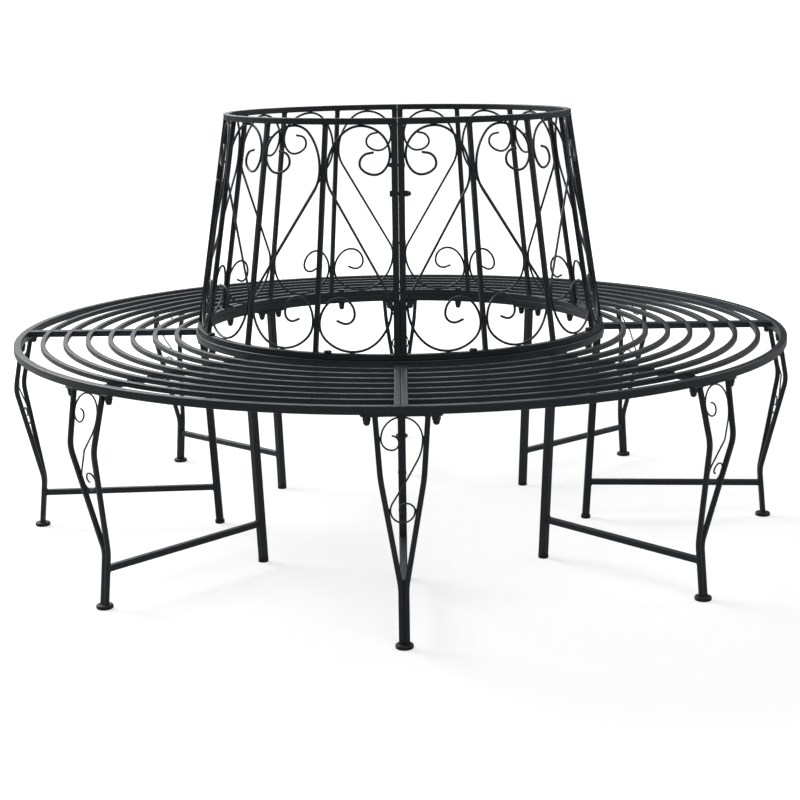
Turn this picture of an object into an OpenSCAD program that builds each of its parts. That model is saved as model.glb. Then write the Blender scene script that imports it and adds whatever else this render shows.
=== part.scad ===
// Round garden bench that closes around a tree: four seat panels and four backrest
// panels of welded steel tube, bolted together on eight leg frames.
// The origin is the centre of the ring at floor level, +Z up, millimetres.

/* [Seat] */
// Outside diameter of the seat
seat_d = 1600; // [1500:5:1800]
// Height of the seat surface above the floor
seat_h = 428; // [410:1:450]
// Width of the square tube of the two seat rims
rim_w = 15; // [14:0.5:18]
// Outside diameter of the inner seat rim
inner_rim_d = 859; // [820:1:880]
// Height of the inner rim's top above the slats
inner_rim_rise = 5; // [3:0.5:8]
// Number of curved slats in each panel
slat_count = 7; // [5:1:8]
// Width and height of a slat tube
slat_w = 10; // [8:0.5:12]
// Gap between the last slat and the outer rim
slat_outer_gap = 38; // [30:0.5:45]
// Width of the tube that closes a panel at each end
rail_w = 12; // [11:0.5:14]
// Width of the bar under the middle of each panel
bar_w = 10; // [8:0.5:12]
// Length of that bar that laps under the inner rim
bar_lap = 2.5; // [1.5:0.1:3]
// Gap at the seam between two neighbouring panels
seam_gap = 1; // [0.6:0.1:4]

/* [Backrest] */
// Height of the top of the backrest above the floor
back_h = 878.5; // [840:0.5:950]
// Outside diameter of the top rail
top_rail_d = 714; // [680:1:760]
// Width of the square tube of the two backrest rails
back_rail_w = 12; // [11:0.5:14]
// Distance of the bottom rail's outer face inside the inner seat rim's
bottom_rail_inset = 3.2; // [2:0.1:5]
// Width of the post at each end of a backrest panel
end_post_w = 12; // [11:0.5:14]
// Width of the posts between them
post_w = 9; // [8:0.5:10]
// Diameter of the wire of the backrest scrolls
back_wire_d = 4.8; // [3:0.1:5.5]
// Distance of a scroll's plane outside the line between its two posts
scroll_out = 4; // [3:0.1:4.5]

/* [Backrest scrolls] */
// Distance down the slope from the scroll's top to where the wire meets the first post
upper_touch_drop = 86.6; // [80:0.2:92]
// Distance down the slope from the scroll's top to where the curl meets the other post
upper_curl_touch_drop = 54.6; // [48:0.2:60]
// Distance down the slope from the scroll's top to the upper curl's lowest point
upper_curl_low_drop = 90.6; // [86:0.2:95]
// Width of the upper curl
upper_curl_w = 57.5; // [52:0.5:60]
// Height of the upper curl's inner turn over its lowest point
upper_curl_rise = 20.9; // [19:0.1:22]
// Height up the slope where the wire meets the post above the lower loop
lower_touch = 92; // [85:1:98]
// Height up the slope of the lower curl's widest point
lower_curl_touch = 60; // [55:1:65]
// Height up the slope of the lower curl's highest point
lower_curl_high = 109; // [105:1:112]
// Width of the lower curl
lower_curl_w = 67.5; // [62:0.5:70]
// Height of the lower curl's inner turn
lower_curl_h = 48; // [44:0.5:50]
// Radius of the bend under the upper loop
upper_sweep_r = 70; // [60:1:80]
// Radius of the bend above the lower loop
lower_sweep_r = 52; // [45:1:60]
// Radius of the last bend at both ends of the wire
curl_end_r = 19; // [17:0.5:20]
// Length of the straight piece at both ends of the wire
curl_stub = 11; // [8:0.5:13]
// Angle of the last bend at the upper end
upper_end_turn = 80; // [60:5:90]
// Angle of the last bend at the lower end
lower_end_turn = 23; // [15:1:30]

/* [Legs] */
// Number of leg frames around the ring
leg_count = 8; // [4:4:8]
// Radius of the circle on which the outer feet stand
outer_foot_r = 782; // [770:1:790]
// Radius of the circle on which the inner feet stand
inner_foot_r = 397.5; // [390:0.5:405]
// Width of the tube of the outer legs
leg_w = 9.5; // [9:0.1:10.5]
// Corner radius of the tube of the outer legs
leg_corner_r = 3; // [1.5:0.1:3.5]
// Radius of the bends in the outer legs
leg_bend_r = 75; // [60:1:90]
// Distance of the knee outside the rim's centre line
knee_out = 21.5; // [15:0.5:24]
// Drop from the plate on an outer leg to the knee
knee_drop = 102; // [90:1:115]
// Height of the ankle, where the two tubes meet
ankle_h = 106; // [95:1:120]
// Distance of the ankle inside the foot circle
ankle_in = 9.8; // [6:0.1:12]
// Half the spread of the two tubes under the rim
leg_top_half = 44; // [40:0.5:47]
// Half the spread of the two tubes at the knee
knee_half = 36.5; // [33:0.5:38]
// Gap between the two tubes where they run side by side
tube_gap = 0.3; // [0.2:0.1:1]
// Width of the square tube of the inner legs
inner_leg_w = 15; // [13:0.5:16]
// Distance of the inner leg's top inside the inner rim's centre line
inner_leg_in = 3.5; // [2:0.1:5]
// Width of the stretcher between the two legs of a frame
stretcher_w = 12; // [10:0.5:13]
// Height of the stretcher's centre at the outer leg
stretcher_outer_h = 74; // [65:1:85]
// Height of the stretcher's centre at the inner leg
stretcher_inner_h = 81; // [70:1:90]
// Diameter of the outer feet
outer_foot_d = 32; // [28:0.5:38]
// Diameter of the inner feet
inner_foot_d = 20.5; // [20:0.5:24]
// Height of every foot
foot_h = 8; // [6:0.5:12]
// Diameter of the wire of the leg scrolls
leg_wire_d = 3.2; // [2.6:0.1:4]

/* [Leg scrolls] */
// Distance down the slope from the plate to where the wire meets the tube
leg_upper_touch_drop = 38; // [34:1:44]
// Distance down the slope from the plate to where the upper curl meets the other tube
leg_curl_touch_drop = 38; // [34:1:44]
// Distance down the slope from the knee to where the lower loop meets the tubes
leg_lower_touch = 60; // [55:1:65]
// Distance down the slope from the knee to the lower loop's lowest point
leg_loop_low = 82; // [78:1:86]
// Radius of the bend under the upper loop
leg_upper_r = 75; // [60:1:85]
// Radius of the bend above the lower loop
leg_lower_r = 31; // [26:1:36]
// Width from the tube to the upper curl's lowest point
leg_curl_r = 18; // [16:0.5:20]
// Drop from the upper curl's side to its lowest point
leg_curl_drop = 18.5; // [16:0.5:21]
// Radius of the upper curl's inner turn
leg_curl_end_r = 12; // [10:0.5:13]
// Radius of the lower loop's upper half
leg_loop_r = 14; // [12:0.5:15]
// Radius of the lower loop's inner end
leg_loop_end_r = 6.5; // [5.5:0.1:7.5]

/* [Leg plates and fasteners] */
// Thickness of the plates on top of the legs
plate_t = 3; // [2:0.1:4]
// Length of the plate on an outer leg
outer_plate_l = 138; // [134:1:144]
// Width of the plate on an outer leg
outer_plate_w = 13; // [12:0.5:13]
// Distance of an outer plate's studs from its middle
outer_stud_half = 58; // [56:0.5:60]
// Length of the plate on an inner leg
inner_plate_l = 77; // [74:1:84]
// Distance of an inner plate's studs from its middle
inner_stud_half = 25; // [22:0.5:28]
// Thread of the studs under the rims and of the bolts down through the inner rim
stud_d = 8; // [6:0.5:8]
// Thread of the bolts through the backrest's seams
seam_bolt_d = 6; // [5:0.5:6]
// Angle between a backrest post and the bolt beside it
bolt_off_post = 3.5; // [3:0.1:5]
// Height of the lower seam bolts over the bottom rail
seam_bolt_low_rise = 112; // [112:1:135]
// Drop from the top rail to the upper seam bolts
seam_bolt_high_drop = 126.5; // [106:0.5:146]

/* [Tube walls] */
// Wall of the rims, rails, posts and legs
tube_wall = 1.2; // [0.8:0.1:1.6]
// Wall of the slats, slim posts and bars
slim_wall = 1; // [0.8:0.1:1.3]
// Corner radius of the square tubes
corner_r = 1.2; // [0.8:0.1:2]

/* [Hidden] */
$fn = 48;
// Sides of the wires' section, and steps of a 45 degree arc in wide and tight turns
wire_sides = 6;
wide_steps = 4;
tight_steps = 3;
// Facets of a full circle around the bench
ring_facets = 180;
// Steps of the wires' long sweeps, of their curls' ends, and of a bend in a leg's tube
back_sweep_steps = 3;
leg_sweep_steps = 2;
end_turn_steps = 5;
bend_steps = 2;
// Steps of each rounded tube corner
corner_steps = 2;
// Clearance of a bolt or stud in its hole, on the diameter
hole_clearance = 0.5;
// Clearance of a thread in its nut, on the diameter
thread_clearance = 0.1;
// Clearance of a wire at what it is welded to
wire_clearance = 0.1;
// Hexagons of the studs' nuts and the ring bolts, across the flats, and their heights
stud_hex_w = 13;
stud_head_t = 5;
stud_nut_hex_t = 6.5;
stud_nut_h = 15;
stud_dome_d = 12;
stud_bore_depth = 10.5;
stud_in_nut = 9.5;
// Hexagons of the seam bolts and their nuts, across the flats, and their heights
seam_hex_w = 10;
seam_head_t = 4;
seam_nut_hex_t = 5.5;
seam_nut_h = 12;
seam_dome_d = 9.4;
seam_bore_depth = 8.5;
seam_in_nut = 7.5;
thin_nut_t = 4;
washer_d = 16;
washer_t = 1.5;
// Number of panels in the seat and in the backrest, and of bays in a backrest panel
panels = 4;
panel_angle = 360 / panels;
bays = 4;
bay_angle = panel_angle / bays;
half_bay = bay_angle / 2;
// Length by which a cutting shape runs past what it cuts
past = 10;
// Backrest scroll's lower loop: crown and inner turn as shares of the loop's width and height,
// lowest point as a share of the end's radius, and shift of the wire's lowest point
loop_crown_share = 0.57;
loop_inner_share = 0.64;
loop_low_share = 0.9;
floor_shift = 5;
// Leg scroll's lower loop: how much tighter its inner turn is than its outer turn
leg_loop_tighter = 2;
// Tilt of an outer leg's tubes against the upright, above and below the knee
upper_tilt = 4;
lower_tilt = 9;
// Gap between an outer plate and the rim's inner face, and from the plate's middle to the leg's
plate_off_face = 0.5;
leg_off_plate = 1.5;
outer_plate_corner = 4;
inner_plate_corner = 3;
// Feet: edges below and above, and a groove around the outer foot
foot_edge = 1;
foot_shoulder = 2;
groove_depth = 0.5;
groove_low = 4;
groove_w = 1.2;

// Seat radii and heights
outer_r = seat_d / 2;
outer_face_r = outer_r - rim_w;
rim_r = outer_r - rim_w / 2;
inner_r = inner_rim_d / 2;
inner_rim_r = inner_r - rim_w / 2;
inner_top = seat_h + inner_rim_rise;
inner_bottom = inner_top - rim_w;
outer_bottom = seat_h - rim_w;
slat_bottom = seat_h - slat_w;
slat_gap = (outer_face_r - inner_r - slat_outer_gap - slat_count * slat_w) / slat_count;
slat_pitch = slat_w + slat_gap;
first_slat_r = inner_r + slat_gap + slat_w / 2;
rail_offset = seam_gap / 2 + rail_w / 2;
rail_face = seam_gap / 2 + rail_w;
bar_top = slat_bottom;

// Backrest radii and heights
bottom_rail_r = inner_r - bottom_rail_inset - back_rail_w / 2;
bottom_rail_top = inner_top + back_rail_w;
bottom_rail_mid = inner_top + back_rail_w / 2;
top_rail_r = top_rail_d / 2 - back_rail_w / 2;
top_rail_bottom = back_h - back_rail_w;
top_rail_mid = back_h - back_rail_w / 2;
back_rise = top_rail_mid - bottom_rail_mid;
post_lean = atan((bottom_rail_r - top_rail_r) / back_rise);
end_post_offset = seam_gap / 2 + end_post_w / 2;
end_post_face = seam_gap / 2 + end_post_w;
seam_bolt_low = bottom_rail_top + seam_bolt_low_rise;
seam_bolt_high = top_rail_bottom - seam_bolt_high_drop;

// Plane of a backrest scroll: its distance from the axis at both rails, and its lean
scroll_low_r = bottom_rail_r * cos(half_bay) + scroll_out;
scroll_high_r = top_rail_r * cos(half_bay) + scroll_out;
scroll_lean = atan((scroll_low_r - scroll_high_r) / back_rise);
scroll_low_reach = back_wire_d / 2 + wire_clearance;
scroll_floor = (bottom_rail_top + scroll_low_reach - bottom_rail_mid) / cos(scroll_lean);
scroll_roof = (top_rail_bottom - scroll_low_reach - bottom_rail_mid) / cos(scroll_lean);
upper_touch = scroll_roof - upper_touch_drop;
upper_curl_touch = scroll_roof - upper_curl_touch_drop;
upper_curl_low = scroll_roof - upper_curl_low_drop;

// Leg frame: plates, knee, ankle and feet in the plane of the frame
outer_plate_bottom = outer_bottom - plate_t;
inner_plate_bottom = inner_bottom - plate_t;
outer_plate_r = outer_face_r + plate_off_face + outer_plate_w / 2;
leg_top_r = outer_plate_r + leg_off_plate;
knee_h = outer_plate_bottom - knee_drop;
knee_r = rim_r + knee_out;
ankle_r = outer_foot_r - ankle_in;
side_half = leg_w / 2 + tube_gap / 2;
inner_leg_top_r = inner_rim_r - inner_leg_in;
inner_leg_lean = atan((inner_leg_top_r - inner_foot_r) / (inner_plate_bottom - foot_h));
foot_lean = atan(ankle_in / (ankle_h - foot_h));
upper_lean = atan((knee_r - leg_top_r) / (outer_plate_bottom - knee_h));
lower_lean = atan((knee_r - ankle_r) / (knee_h - ankle_h));
upper_run = (outer_plate_bottom - knee_h) / cos(upper_lean);
lower_run = (knee_h - ankle_h) / cos(lower_lean);
leg_upper_touch = upper_run - leg_upper_touch_drop;
leg_curl_touch = upper_run - leg_curl_touch_drop;

// Radius at which a point of a straight plate lies over the middle of a round rim
function chord_r(ring_r, half) = sqrt(ring_r * ring_r - half * half);
outer_stud_r = chord_r(rim_r, outer_stud_half);
inner_stud_r = chord_r(inner_rim_r, inner_stud_half);
ring_bolt_r = (bottom_rail_r + inner_rim_r) / 2;

// Sections

// Corner points of a square of width w with rounded corners of radius r
function rounded_square(w, r, steps = corner_steps) = [
    for (corner = [0 : 3], step = [0 : steps])
        let (a = 90 * (corner + step / steps), at = 90 * corner + 45)
            [(w / 2 - r) * sqrt(2) * cos(at) + r * cos(a), (w / 2 - r) * sqrt(2) * sin(at) + r * sin(a)]
];

module tube_section(w, wall) {
    difference() {
        polygon(rounded_square(w, corner_r));
        square(w - 2 * wall, center = true);
    }
}

// A square tube bent to a ring, its middle at radius r and height z, over one panel
module ring_tube(r, z, w, wall) {
    rotate_extrude(angle = panel_angle, $fn = ring_facets)
        translate([r, z]) tube_section(w, wall);
}

// What lies in the first panel, further than the given distance from both seams
module in_panel(offset) {
    intersection() {
        children();
        translate([offset, offset, 0]) cube([outer_r, outer_r, back_h + past]);
    }
}

// What lies between two cylinders around the axis
module between_radii(low, high) {
    intersection() {
        children();
        difference() {
            cylinder(h = back_h, r = high, $fn = ring_facets);
            translate([0, 0, -past]) cylinder(h = back_h + 2 * past, r = low, $fn = ring_facets);
        }
    }
}

// What lies between two heights
module between_heights(low, high) {
    intersection() {
        children();
        translate([-seat_d, -seat_d, low]) cube([2 * seat_d, 2 * seat_d, high - low]);
    }
}

module at_panel(number) {
    rotate([0, 0, (number - 1) * panel_angle]) children();
}

module at_each_panel() {
    for (number = [1 : panels]) at_panel(number) children();
}

module at_leg(number) {
    rotate([0, 0, (number - 1) * 360 / leg_count]) children();
}

module at_each_leg() {
    for (number = [1 : leg_count]) at_leg(number) children();
}

// Sweeps: shapes drawn through rings of the same number of points

// Faces between n rings of m points, whose first point has the number from
function sweep_sides(n, m, from = 0) = [
    for (i = [0 : n - 2], j = [0 : m - 1])
        let (k = (j + 1) % m, here = from + i * m, next = here + m)
            [here + j, here + k, next + k, next + j]
];
function reversed(list) = [for (i = [len(list) - 1 : -1 : 0]) list[i]];

module sweep(rings) {
    n = len(rings);
    m = len(rings[0]);
    first = [for (j = [m - 1 : -1 : 0]) j];
    last = [for (j = [0 : m - 1]) (n - 1) * m + j];
    polyhedron([for (ring = rings) each ring], concat([first], sweep_sides(n, m), [last]),
        convexity = 8);
}

// A hollow sweep, whose ends show the wall between the outer and the inner rings
module hollow_sweep(outer, inner) {
    n = len(outer);
    m = len(outer[0]);
    inside = n * m;
    far = (n - 1) * m;
    near_end = [for (j = [0 : m - 1]) let (k = (j + 1) % m) [k, j, inside + j, inside + k]];
    far_end = [
        for (j = [0 : m - 1])
            let (k = (j + 1) % m) [far + j, far + k, inside + far + k, inside + far + j]
    ];
    polyhedron(
        concat([for (ring = outer) each ring], [for (ring = inner) each ring]),
        concat(near_end, sweep_sides(n, m), [for (f = sweep_sides(n, m, inside)) reversed(f)],
            far_end),
        convexity = 8
    );
}

// Bent tubes

function unit(v) = v / norm(v);
// The vector v turned by the angle a about the unit axis k
function turned(v, k, a) = v * cos(a) + cross(k, v) * sin(a) + k * (k * v) * (1 - cos(a));
function run_dir(path, i) = unit(path[i + 1] - path[i]);
function bend_axis(path, i) = unit(cross(run_dir(path, i - 1), run_dir(path, i)));
function bend_angle(path, i) = acos(run_dir(path, i - 1) * run_dir(path, i));
// Side direction of the section on run i, carried through the bends without a twist
function side_dir(path, i) =
    i == 0 ? unit(cross([1, 0, 0], run_dir(path, 0)))
    : turned(side_dir(path, i - 1), bend_axis(path, i), bend_angle(path, i));

// The section stood up at the point o of a tube that heads along dir
function tube_ring(section, o, side, dir) =
    [for (p = section) o + p[0] * side + p[1] * cross(side, dir)];
// The ring at a path's end, its points slid along the tube to the end's height
function end_ring(section, path, i, end) =
    let (dir = run_dir(path, i))
        [for (p = tube_ring(section, end, side_dir(path, i), dir))
            p + dir * (end[2] - p[2]) / dir[2]];
// Rings along the bend at the path's point i
function bend_rings(section, path, i) =
    let (
        dir = run_dir(path, i - 1),
        side = side_dir(path, i - 1),
        axis = bend_axis(path, i),
        angle = bend_angle(path, i),
        start = path[i] - dir * leg_bend_r * tan(angle / 2),
        center = start + cross(axis, dir) * leg_bend_r
    ) [
        for (step = [0 : bend_steps])
            let (a = angle * step / bend_steps)
                tube_ring(section, center + turned(start - center, axis, a),
                    turned(side, axis, a), turned(dir, axis, a))
    ];
function tube_rings(section, path) = concat(
    [end_ring(section, path, 0, path[0])],
    bend_rings(section, path, 1),
    bend_rings(section, path, 2),
    [end_ring(section, path, 2, path[3])]
);

// Wire scrolls, drawn in their own plane. A path is a list of [x, y, heading].

function to_dir(a) = [cos(a), sin(a)];
function place(p) = [p[0], p[1]];
function at(p, a) = [p[0], p[1], a];

// Points of an arc of radius r that leaves the point p, its own first point left out
function arc_on(p, r, sweep, steps) =
    let (s = sign(sweep) * 90, c = place(p) + r * to_dir(p[2] + s))
        [for (i = [1 : steps]) at(c - r * to_dir(p[2] + sweep * i / steps + s),
            p[2] + sweep * i / steps)];

// A quarter turn of an oval from p to the place q, turning by the sign of s, as two arcs
function turn_on(p, q, s, steps) =
    let (
        ahead = (q - place(p)) * to_dir(p[2]),
        aside = (q - place(p)) * to_dir(p[2] + 90 * s),
        c = sqrt(0.5),
        first_r = (ahead * c - aside * (1 - c)) / (2 * c - 1),
        last_r = (aside * c - ahead * (1 - c)) / (2 * c - 1),
        first = arc_on(p, first_r, 45 * s, steps)
    ) concat(first, arc_on(first[steps - 1], last_r, 45 * s, steps));

// A straight piece of the given length from the point p
function rod_on(p, length) = [at(place(p) + length * to_dir(p[2]), p[2])];

// A wire of diameter d along a path
module wire(path, d) {
    sweep([
        for (p = path) [
            for (j = [0 : wire_sides - 1])
                let (f = 360 * j / wire_sides, out = to_dir(p[2] - 90) * cos(f) * d / 2)
                    [p[0] + out[0], p[1] + out[1], sin(f) * d / 2]
        ]
    ]);
}

// The slanted stretch between a bend down from the upper point and one down to the lower
// point: centres of the two bends, the length between them and its angle to the upright
function link_upper_c(upper, r1) = [upper[0] - r1, upper[1]];
function link_lower_c(lower, r2) = [lower[0] + r2, lower[1]];
function link_gap(upper, lower, r1, r2) = link_lower_c(lower, r2) - link_upper_c(upper, r1);
function link_length(upper, lower, r1, r2) =
    let (gap = link_gap(upper, lower, r1, r2)) sqrt(gap * gap - (r1 + r2) * (r1 + r2));
function link_angle(upper, lower, r1, r2) =
    let (gap = link_gap(upper, lower, r1, r2))
        atan2(-gap[1], gap[0]) - atan2(link_length(upper, lower, r1, r2), r1 + r2);

// Half the width of a backrest bay at the height t up the slope
function bay_half(t) = (scroll_low_r - t * sin(scroll_lean)) * tan(half_bay);
// Place of a wire that lies against a post whose face is this far from the bay's edge
function beside(t, face) =
    bay_half(t) - (face + back_wire_d / 2 + wire_clearance) / cos(half_bay);

// One backrest scroll, its curls beside the post with the face curl_face
module back_scroll(curl_face) {
    upper = [beside(upper_touch, post_w / 2), upper_touch];
    roof = [0, scroll_roof];
    curl_side = [-beside(upper_curl_touch, curl_face), upper_curl_touch];
    curl_low = [curl_side[0] + upper_curl_w / 2, upper_curl_low];
    curl_inner = [curl_side[0] + upper_curl_w, upper_curl_low + upper_curl_rise];
    lower = [-beside(lower_touch, curl_face), lower_touch];
    loop_side = [beside(lower_curl_touch, post_w / 2), lower_curl_touch];
    floor_point = [(lower[0] + loop_side[0]) / 2 + floor_shift, scroll_floor];
    loop_crown = [loop_side[0] - lower_curl_w * loop_crown_share, lower_curl_high];
    loop_inner = [loop_side[0] - lower_curl_w,
        lower_curl_high - lower_curl_h * loop_inner_share];
    loop_low = [loop_inner[0] + curl_end_r * loop_low_share, lower_curl_high - lower_curl_h];
    slant = link_angle(upper, lower, upper_sweep_r, lower_sweep_r);
    link = link_length(upper, lower, upper_sweep_r, lower_sweep_r);

    end_c = curl_inner - [curl_end_r, 0];
    end = at(end_c + curl_end_r * to_dir(upper_end_turn), upper_end_turn - 90);
    tip = rod_on(end, -curl_stub);
    end_arc = concat([end], arc_on(end, curl_end_r, -upper_end_turn, end_turn_steps));
    curl = concat(
        turn_on(at(curl_inner, -90), curl_low, -1, tight_steps),
        turn_on(at(curl_low, -180), curl_side, -1, tight_steps),
        turn_on(at(curl_side, 90), roof, -1, wide_steps),
        turn_on(at(roof, 0), upper, -1, wide_steps)
    );
    upper_sweep = arc_on(at(upper, -90), upper_sweep_r, -slant, back_sweep_steps);
    crossing = rod_on(upper_sweep[back_sweep_steps - 1], link);
    lower_sweep = arc_on(crossing[0], lower_sweep_r, slant, back_sweep_steps);
    loop = concat(
        turn_on(at(lower, -90), floor_point, 1, wide_steps),
        turn_on(at(floor_point, 0), loop_side, 1, wide_steps),
        turn_on(at(loop_side, 90), loop_crown, 1, wide_steps),
        turn_on(at(loop_crown, 180), loop_inner, 1, tight_steps),
        turn_on(at(loop_inner, 270), loop_low, 1, tight_steps)
    );
    last_arc = arc_on(at(loop_low, 0), curl_end_r, lower_end_turn, 2);
    wire(concat(tip, end_arc, curl, upper_sweep, crossing, lower_sweep, loop, last_arc,
        rod_on(last_arc[1], curl_stub)), back_wire_d);
}

// Children drawn in a plane, stood up across the radius and leaned inward by lean
module stood_up(r, z, lean) {
    translate([r, 0, z]) rotate([0, -lean, 0]) rotate([90, 0, 90]) children();
}

// Seat

module seat_outer_rim(number) {
    color("#2b2f31") at_panel(number)
        in_panel(seam_gap / 2) ring_tube(rim_r, seat_h - rim_w / 2, rim_w, tube_wall);
}

module seat_inner_rim(number) {
    color("#2b2f31") at_panel(number) difference() {
        in_panel(seam_gap / 2) ring_tube(inner_rim_r, inner_top - rim_w / 2, rim_w, tube_wall);
        ring_bolt_holes(number);
    }
}

module seat_slats(number) {
    color("#3a3f42") at_panel(number) in_panel(rail_face)
        for (i = [0 : slat_count - 1])
            ring_tube(first_slat_r + i * slat_pitch, seat_h - slat_w / 2, slat_w, slim_wall);
}

// The two rails that close a panel at its seams, and the bar under its middle
module seat_cross_bars(number) {
    color("#34393b") at_panel(number) {
        between_radii(inner_r, outer_face_r) {
            translate([0, rail_offset, seat_h - rail_w / 2]) rotate([90, 0, 90])
                linear_extrude(outer_r) tube_section(rail_w, tube_wall);
            translate([rail_offset, 0, seat_h - rail_w / 2]) rotate([-90, 0, 0])
                linear_extrude(outer_r) tube_section(rail_w, tube_wall);
        }
        between_radii(inner_r - bar_lap, outer_face_r)
            rotate([0, 0, panel_angle / 2]) translate([0, 0, bar_top - bar_w / 2])
                rotate([90, 0, 90]) linear_extrude(outer_r) tube_section(bar_w, slim_wall);
    }
}

// Backrest

module back_top_rail(number) {
    color("#2b2f31") at_panel(number) in_panel(seam_gap / 2)
        ring_tube(top_rail_r, top_rail_mid, back_rail_w, tube_wall);
}

module back_bottom_rail(number) {
    color("#2b2f31") at_panel(number) difference() {
        in_panel(seam_gap / 2)
            ring_tube(bottom_rail_r, bottom_rail_mid, back_rail_w, tube_wall);
        ring_bolt_holes(number);
    }
}

// A post that leans with the backrest, standing between the two rails
module leaning_post(w, wall) {
    between_heights(bottom_rail_top, top_rail_bottom)
        translate([bottom_rail_r, 0, bottom_rail_mid]) rotate([0, -post_lean, 0])
            linear_extrude(back_rise / cos(post_lean)) tube_section(w, wall);
}

// Children at a height on the posts' line, with +Z along the tangent across the seam
module seam_bolt_axis(z) {
    translate([bottom_rail_r - (z - bottom_rail_mid) * tan(post_lean), 0, z])
        rotate([-90, 0, 0]) children();
}

module seam_bolt_holes() {
    for (z = [seam_bolt_low, seam_bolt_high])
        seam_bolt_axis(z)
            cylinder(h = 2 * (end_post_face + past), d = seam_bolt_d + hole_clearance,
                center = true);
}

module back_posts(number) {
    color("#34393b") at_panel(number) {
        difference() {
            translate([0, end_post_offset, 0]) leaning_post(end_post_w, tube_wall);
            seam_bolt_holes();
        }
        rotate([0, 0, panel_angle]) difference() {
            translate([0, -end_post_offset, 0]) leaning_post(end_post_w, tube_wall);
            seam_bolt_holes();
        }
        for (i = [1 : bays - 1])
            rotate([0, 0, i * bay_angle]) leaning_post(post_w, slim_wall);
    }
}

// Each pair of neighbouring bays mirrors one scroll about the post between them
module back_scrolls(number) {
    color("#1f2224") at_panel(number) {
        for (i = [0 : bays - 1])
            rotate([0, 0, (i + 0.5) * bay_angle])
                stood_up(scroll_low_r, bottom_rail_mid, scroll_lean)
                    mirror([i % 2, 0, 0])
                        back_scroll(i == 0 || i == bays - 1 ? end_post_face : post_w / 2);
    }
}

// Legs

// One of the two bent tubes of an outer leg, on the side given by its sign
module leg_tube(side) {
    path = [
        [outer_foot_r, side * side_half, foot_h],
        [ankle_r, side * side_half, ankle_h],
        [knee_r, side * knee_half, knee_h],
        [leg_top_r, side * leg_top_half, outer_plate_bottom]
    ];
    outer = rounded_square(leg_w, leg_corner_r, 1);
    inner = rounded_square(leg_w - 2 * slim_wall, leg_corner_r - slim_wall, 1);
    hollow_sweep(tube_rings(outer, path), tube_rings(inner, path));
}

module outer_leg(number) {
    color("#2b2f31") at_leg(number) for (side = [-1, 1]) leg_tube(side);
}

module inner_leg(number) {
    color("#2b2f31") at_leg(number)
        between_heights(foot_h, inner_plate_bottom)
            translate([inner_foot_r, 0, foot_h]) rotate([0, inner_leg_lean, 0])
                translate([0, 0, -past])
                    linear_extrude(inner_bottom + past) tube_section(inner_leg_w, tube_wall);
}

// The stretcher's ends lie flat against the leaning faces of the two legs
module stretchers() {
    inner_face = inner_foot_r + inner_leg_w / 2 / cos(inner_leg_lean);
    outer_face = outer_foot_r - leg_w / 2 / cos(foot_lean);
    middle_h = (stretcher_inner_h + stretcher_outer_h) / 2;
    slope = atan((stretcher_inner_h - stretcher_outer_h) / (outer_foot_r - inner_foot_r));
    high = ankle_h - leg_bend_r * tan(foot_lean);
    color("#34393b") at_each_leg() intersection() {
        translate([(inner_foot_r + outer_foot_r) / 2, 0, middle_h]) rotate([0, 90 + slope, 0])
            linear_extrude(outer_foot_r - inner_foot_r, center = true)
                tube_section(stretcher_w, tube_wall);
        rotate([90, 0, 0]) linear_extrude(2 * stretcher_w, center = true) polygon([
            [inner_face, foot_h],
            [outer_face, foot_h],
            [outer_face - (high - foot_h) * tan(foot_lean), high],
            [inner_face + (high - foot_h) * tan(inner_leg_lean), high]
        ]);
    }
}

// Half the spread of the two tubes at the distance t from the knee line, up or down the leg
function leg_half(t) = t > 0
    ? knee_half + (leg_top_half - knee_half) * t / upper_run
    : knee_half + (knee_half - side_half) * t / lower_run;
// Place of the scroll's wire where it lies against a tube
function inside_leg(t) = (leg_half(t) - leg_w / 2) * cos(t > 0 ? upper_tilt : lower_tilt)
    - leg_wire_d / 2 - wire_clearance;

leg_upper = [inside_leg(leg_upper_touch), leg_upper_touch];
leg_lower = [-inside_leg(-leg_lower_touch), -leg_lower_touch];
leg_slant = link_angle(leg_upper, leg_lower, leg_upper_r, leg_lower_r);

// A leg scroll's path, with y measured up the slopes from the knee line
function leg_scroll_path() =
    let (
        crown = [0, upper_run - leg_wire_d / 2 - wire_clearance],
        side = [-inside_leg(leg_curl_touch), leg_curl_touch],
        low = side + [leg_curl_r, -leg_curl_drop],
        inner = low + leg_curl_end_r * [1, 1],
        end = at(inner + leg_curl_end_r * [-1, 1], 0),
        loop_low = [0, -leg_loop_low],
        loop_side = [inside_leg(-leg_lower_touch), -leg_lower_touch],
        loop_crown = [loop_side[0] - leg_loop_r, -leg_lower_touch + leg_loop_r],
        loop_inner = loop_crown - (leg_loop_r - leg_loop_tighter) * [1, 1],
        loop_end = loop_inner + leg_loop_end_r * [1, -1],
        upper_sweep = arc_on(at(leg_upper, -90), leg_upper_r, -leg_slant, leg_sweep_steps),
        start = upper_sweep[leg_sweep_steps - 1],
        knee_point = rod_on(start, start[1] / cos(leg_slant)),
        far_point = rod_on(start, link_length(leg_upper, leg_lower, leg_upper_r, leg_lower_r))
    ) [
        concat(
            [end],
            turn_on(end, inner, -1, 2),
            turn_on(at(inner, -90), low, -1, 2),
            turn_on(at(low, -180), side, -1, 2),
            turn_on(at(side, 90), crown, -1, tight_steps),
            turn_on(at(crown, 0), leg_upper, -1, tight_steps),
            upper_sweep,
            knee_point
        ),
        concat(
            far_point,
            arc_on(far_point[0], leg_lower_r, leg_slant, leg_sweep_steps),
            turn_on(at(leg_lower, -90), loop_low, 1, tight_steps),
            turn_on(at(loop_low, 0), loop_side, 1, tight_steps),
            turn_on(at(loop_side, 90), loop_crown, 1, 2),
            turn_on(at(loop_crown, 180), loop_inner, 1, 2),
            turn_on(at(loop_inner, 270), loop_end, 1, 2)
        )
    ];

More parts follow.
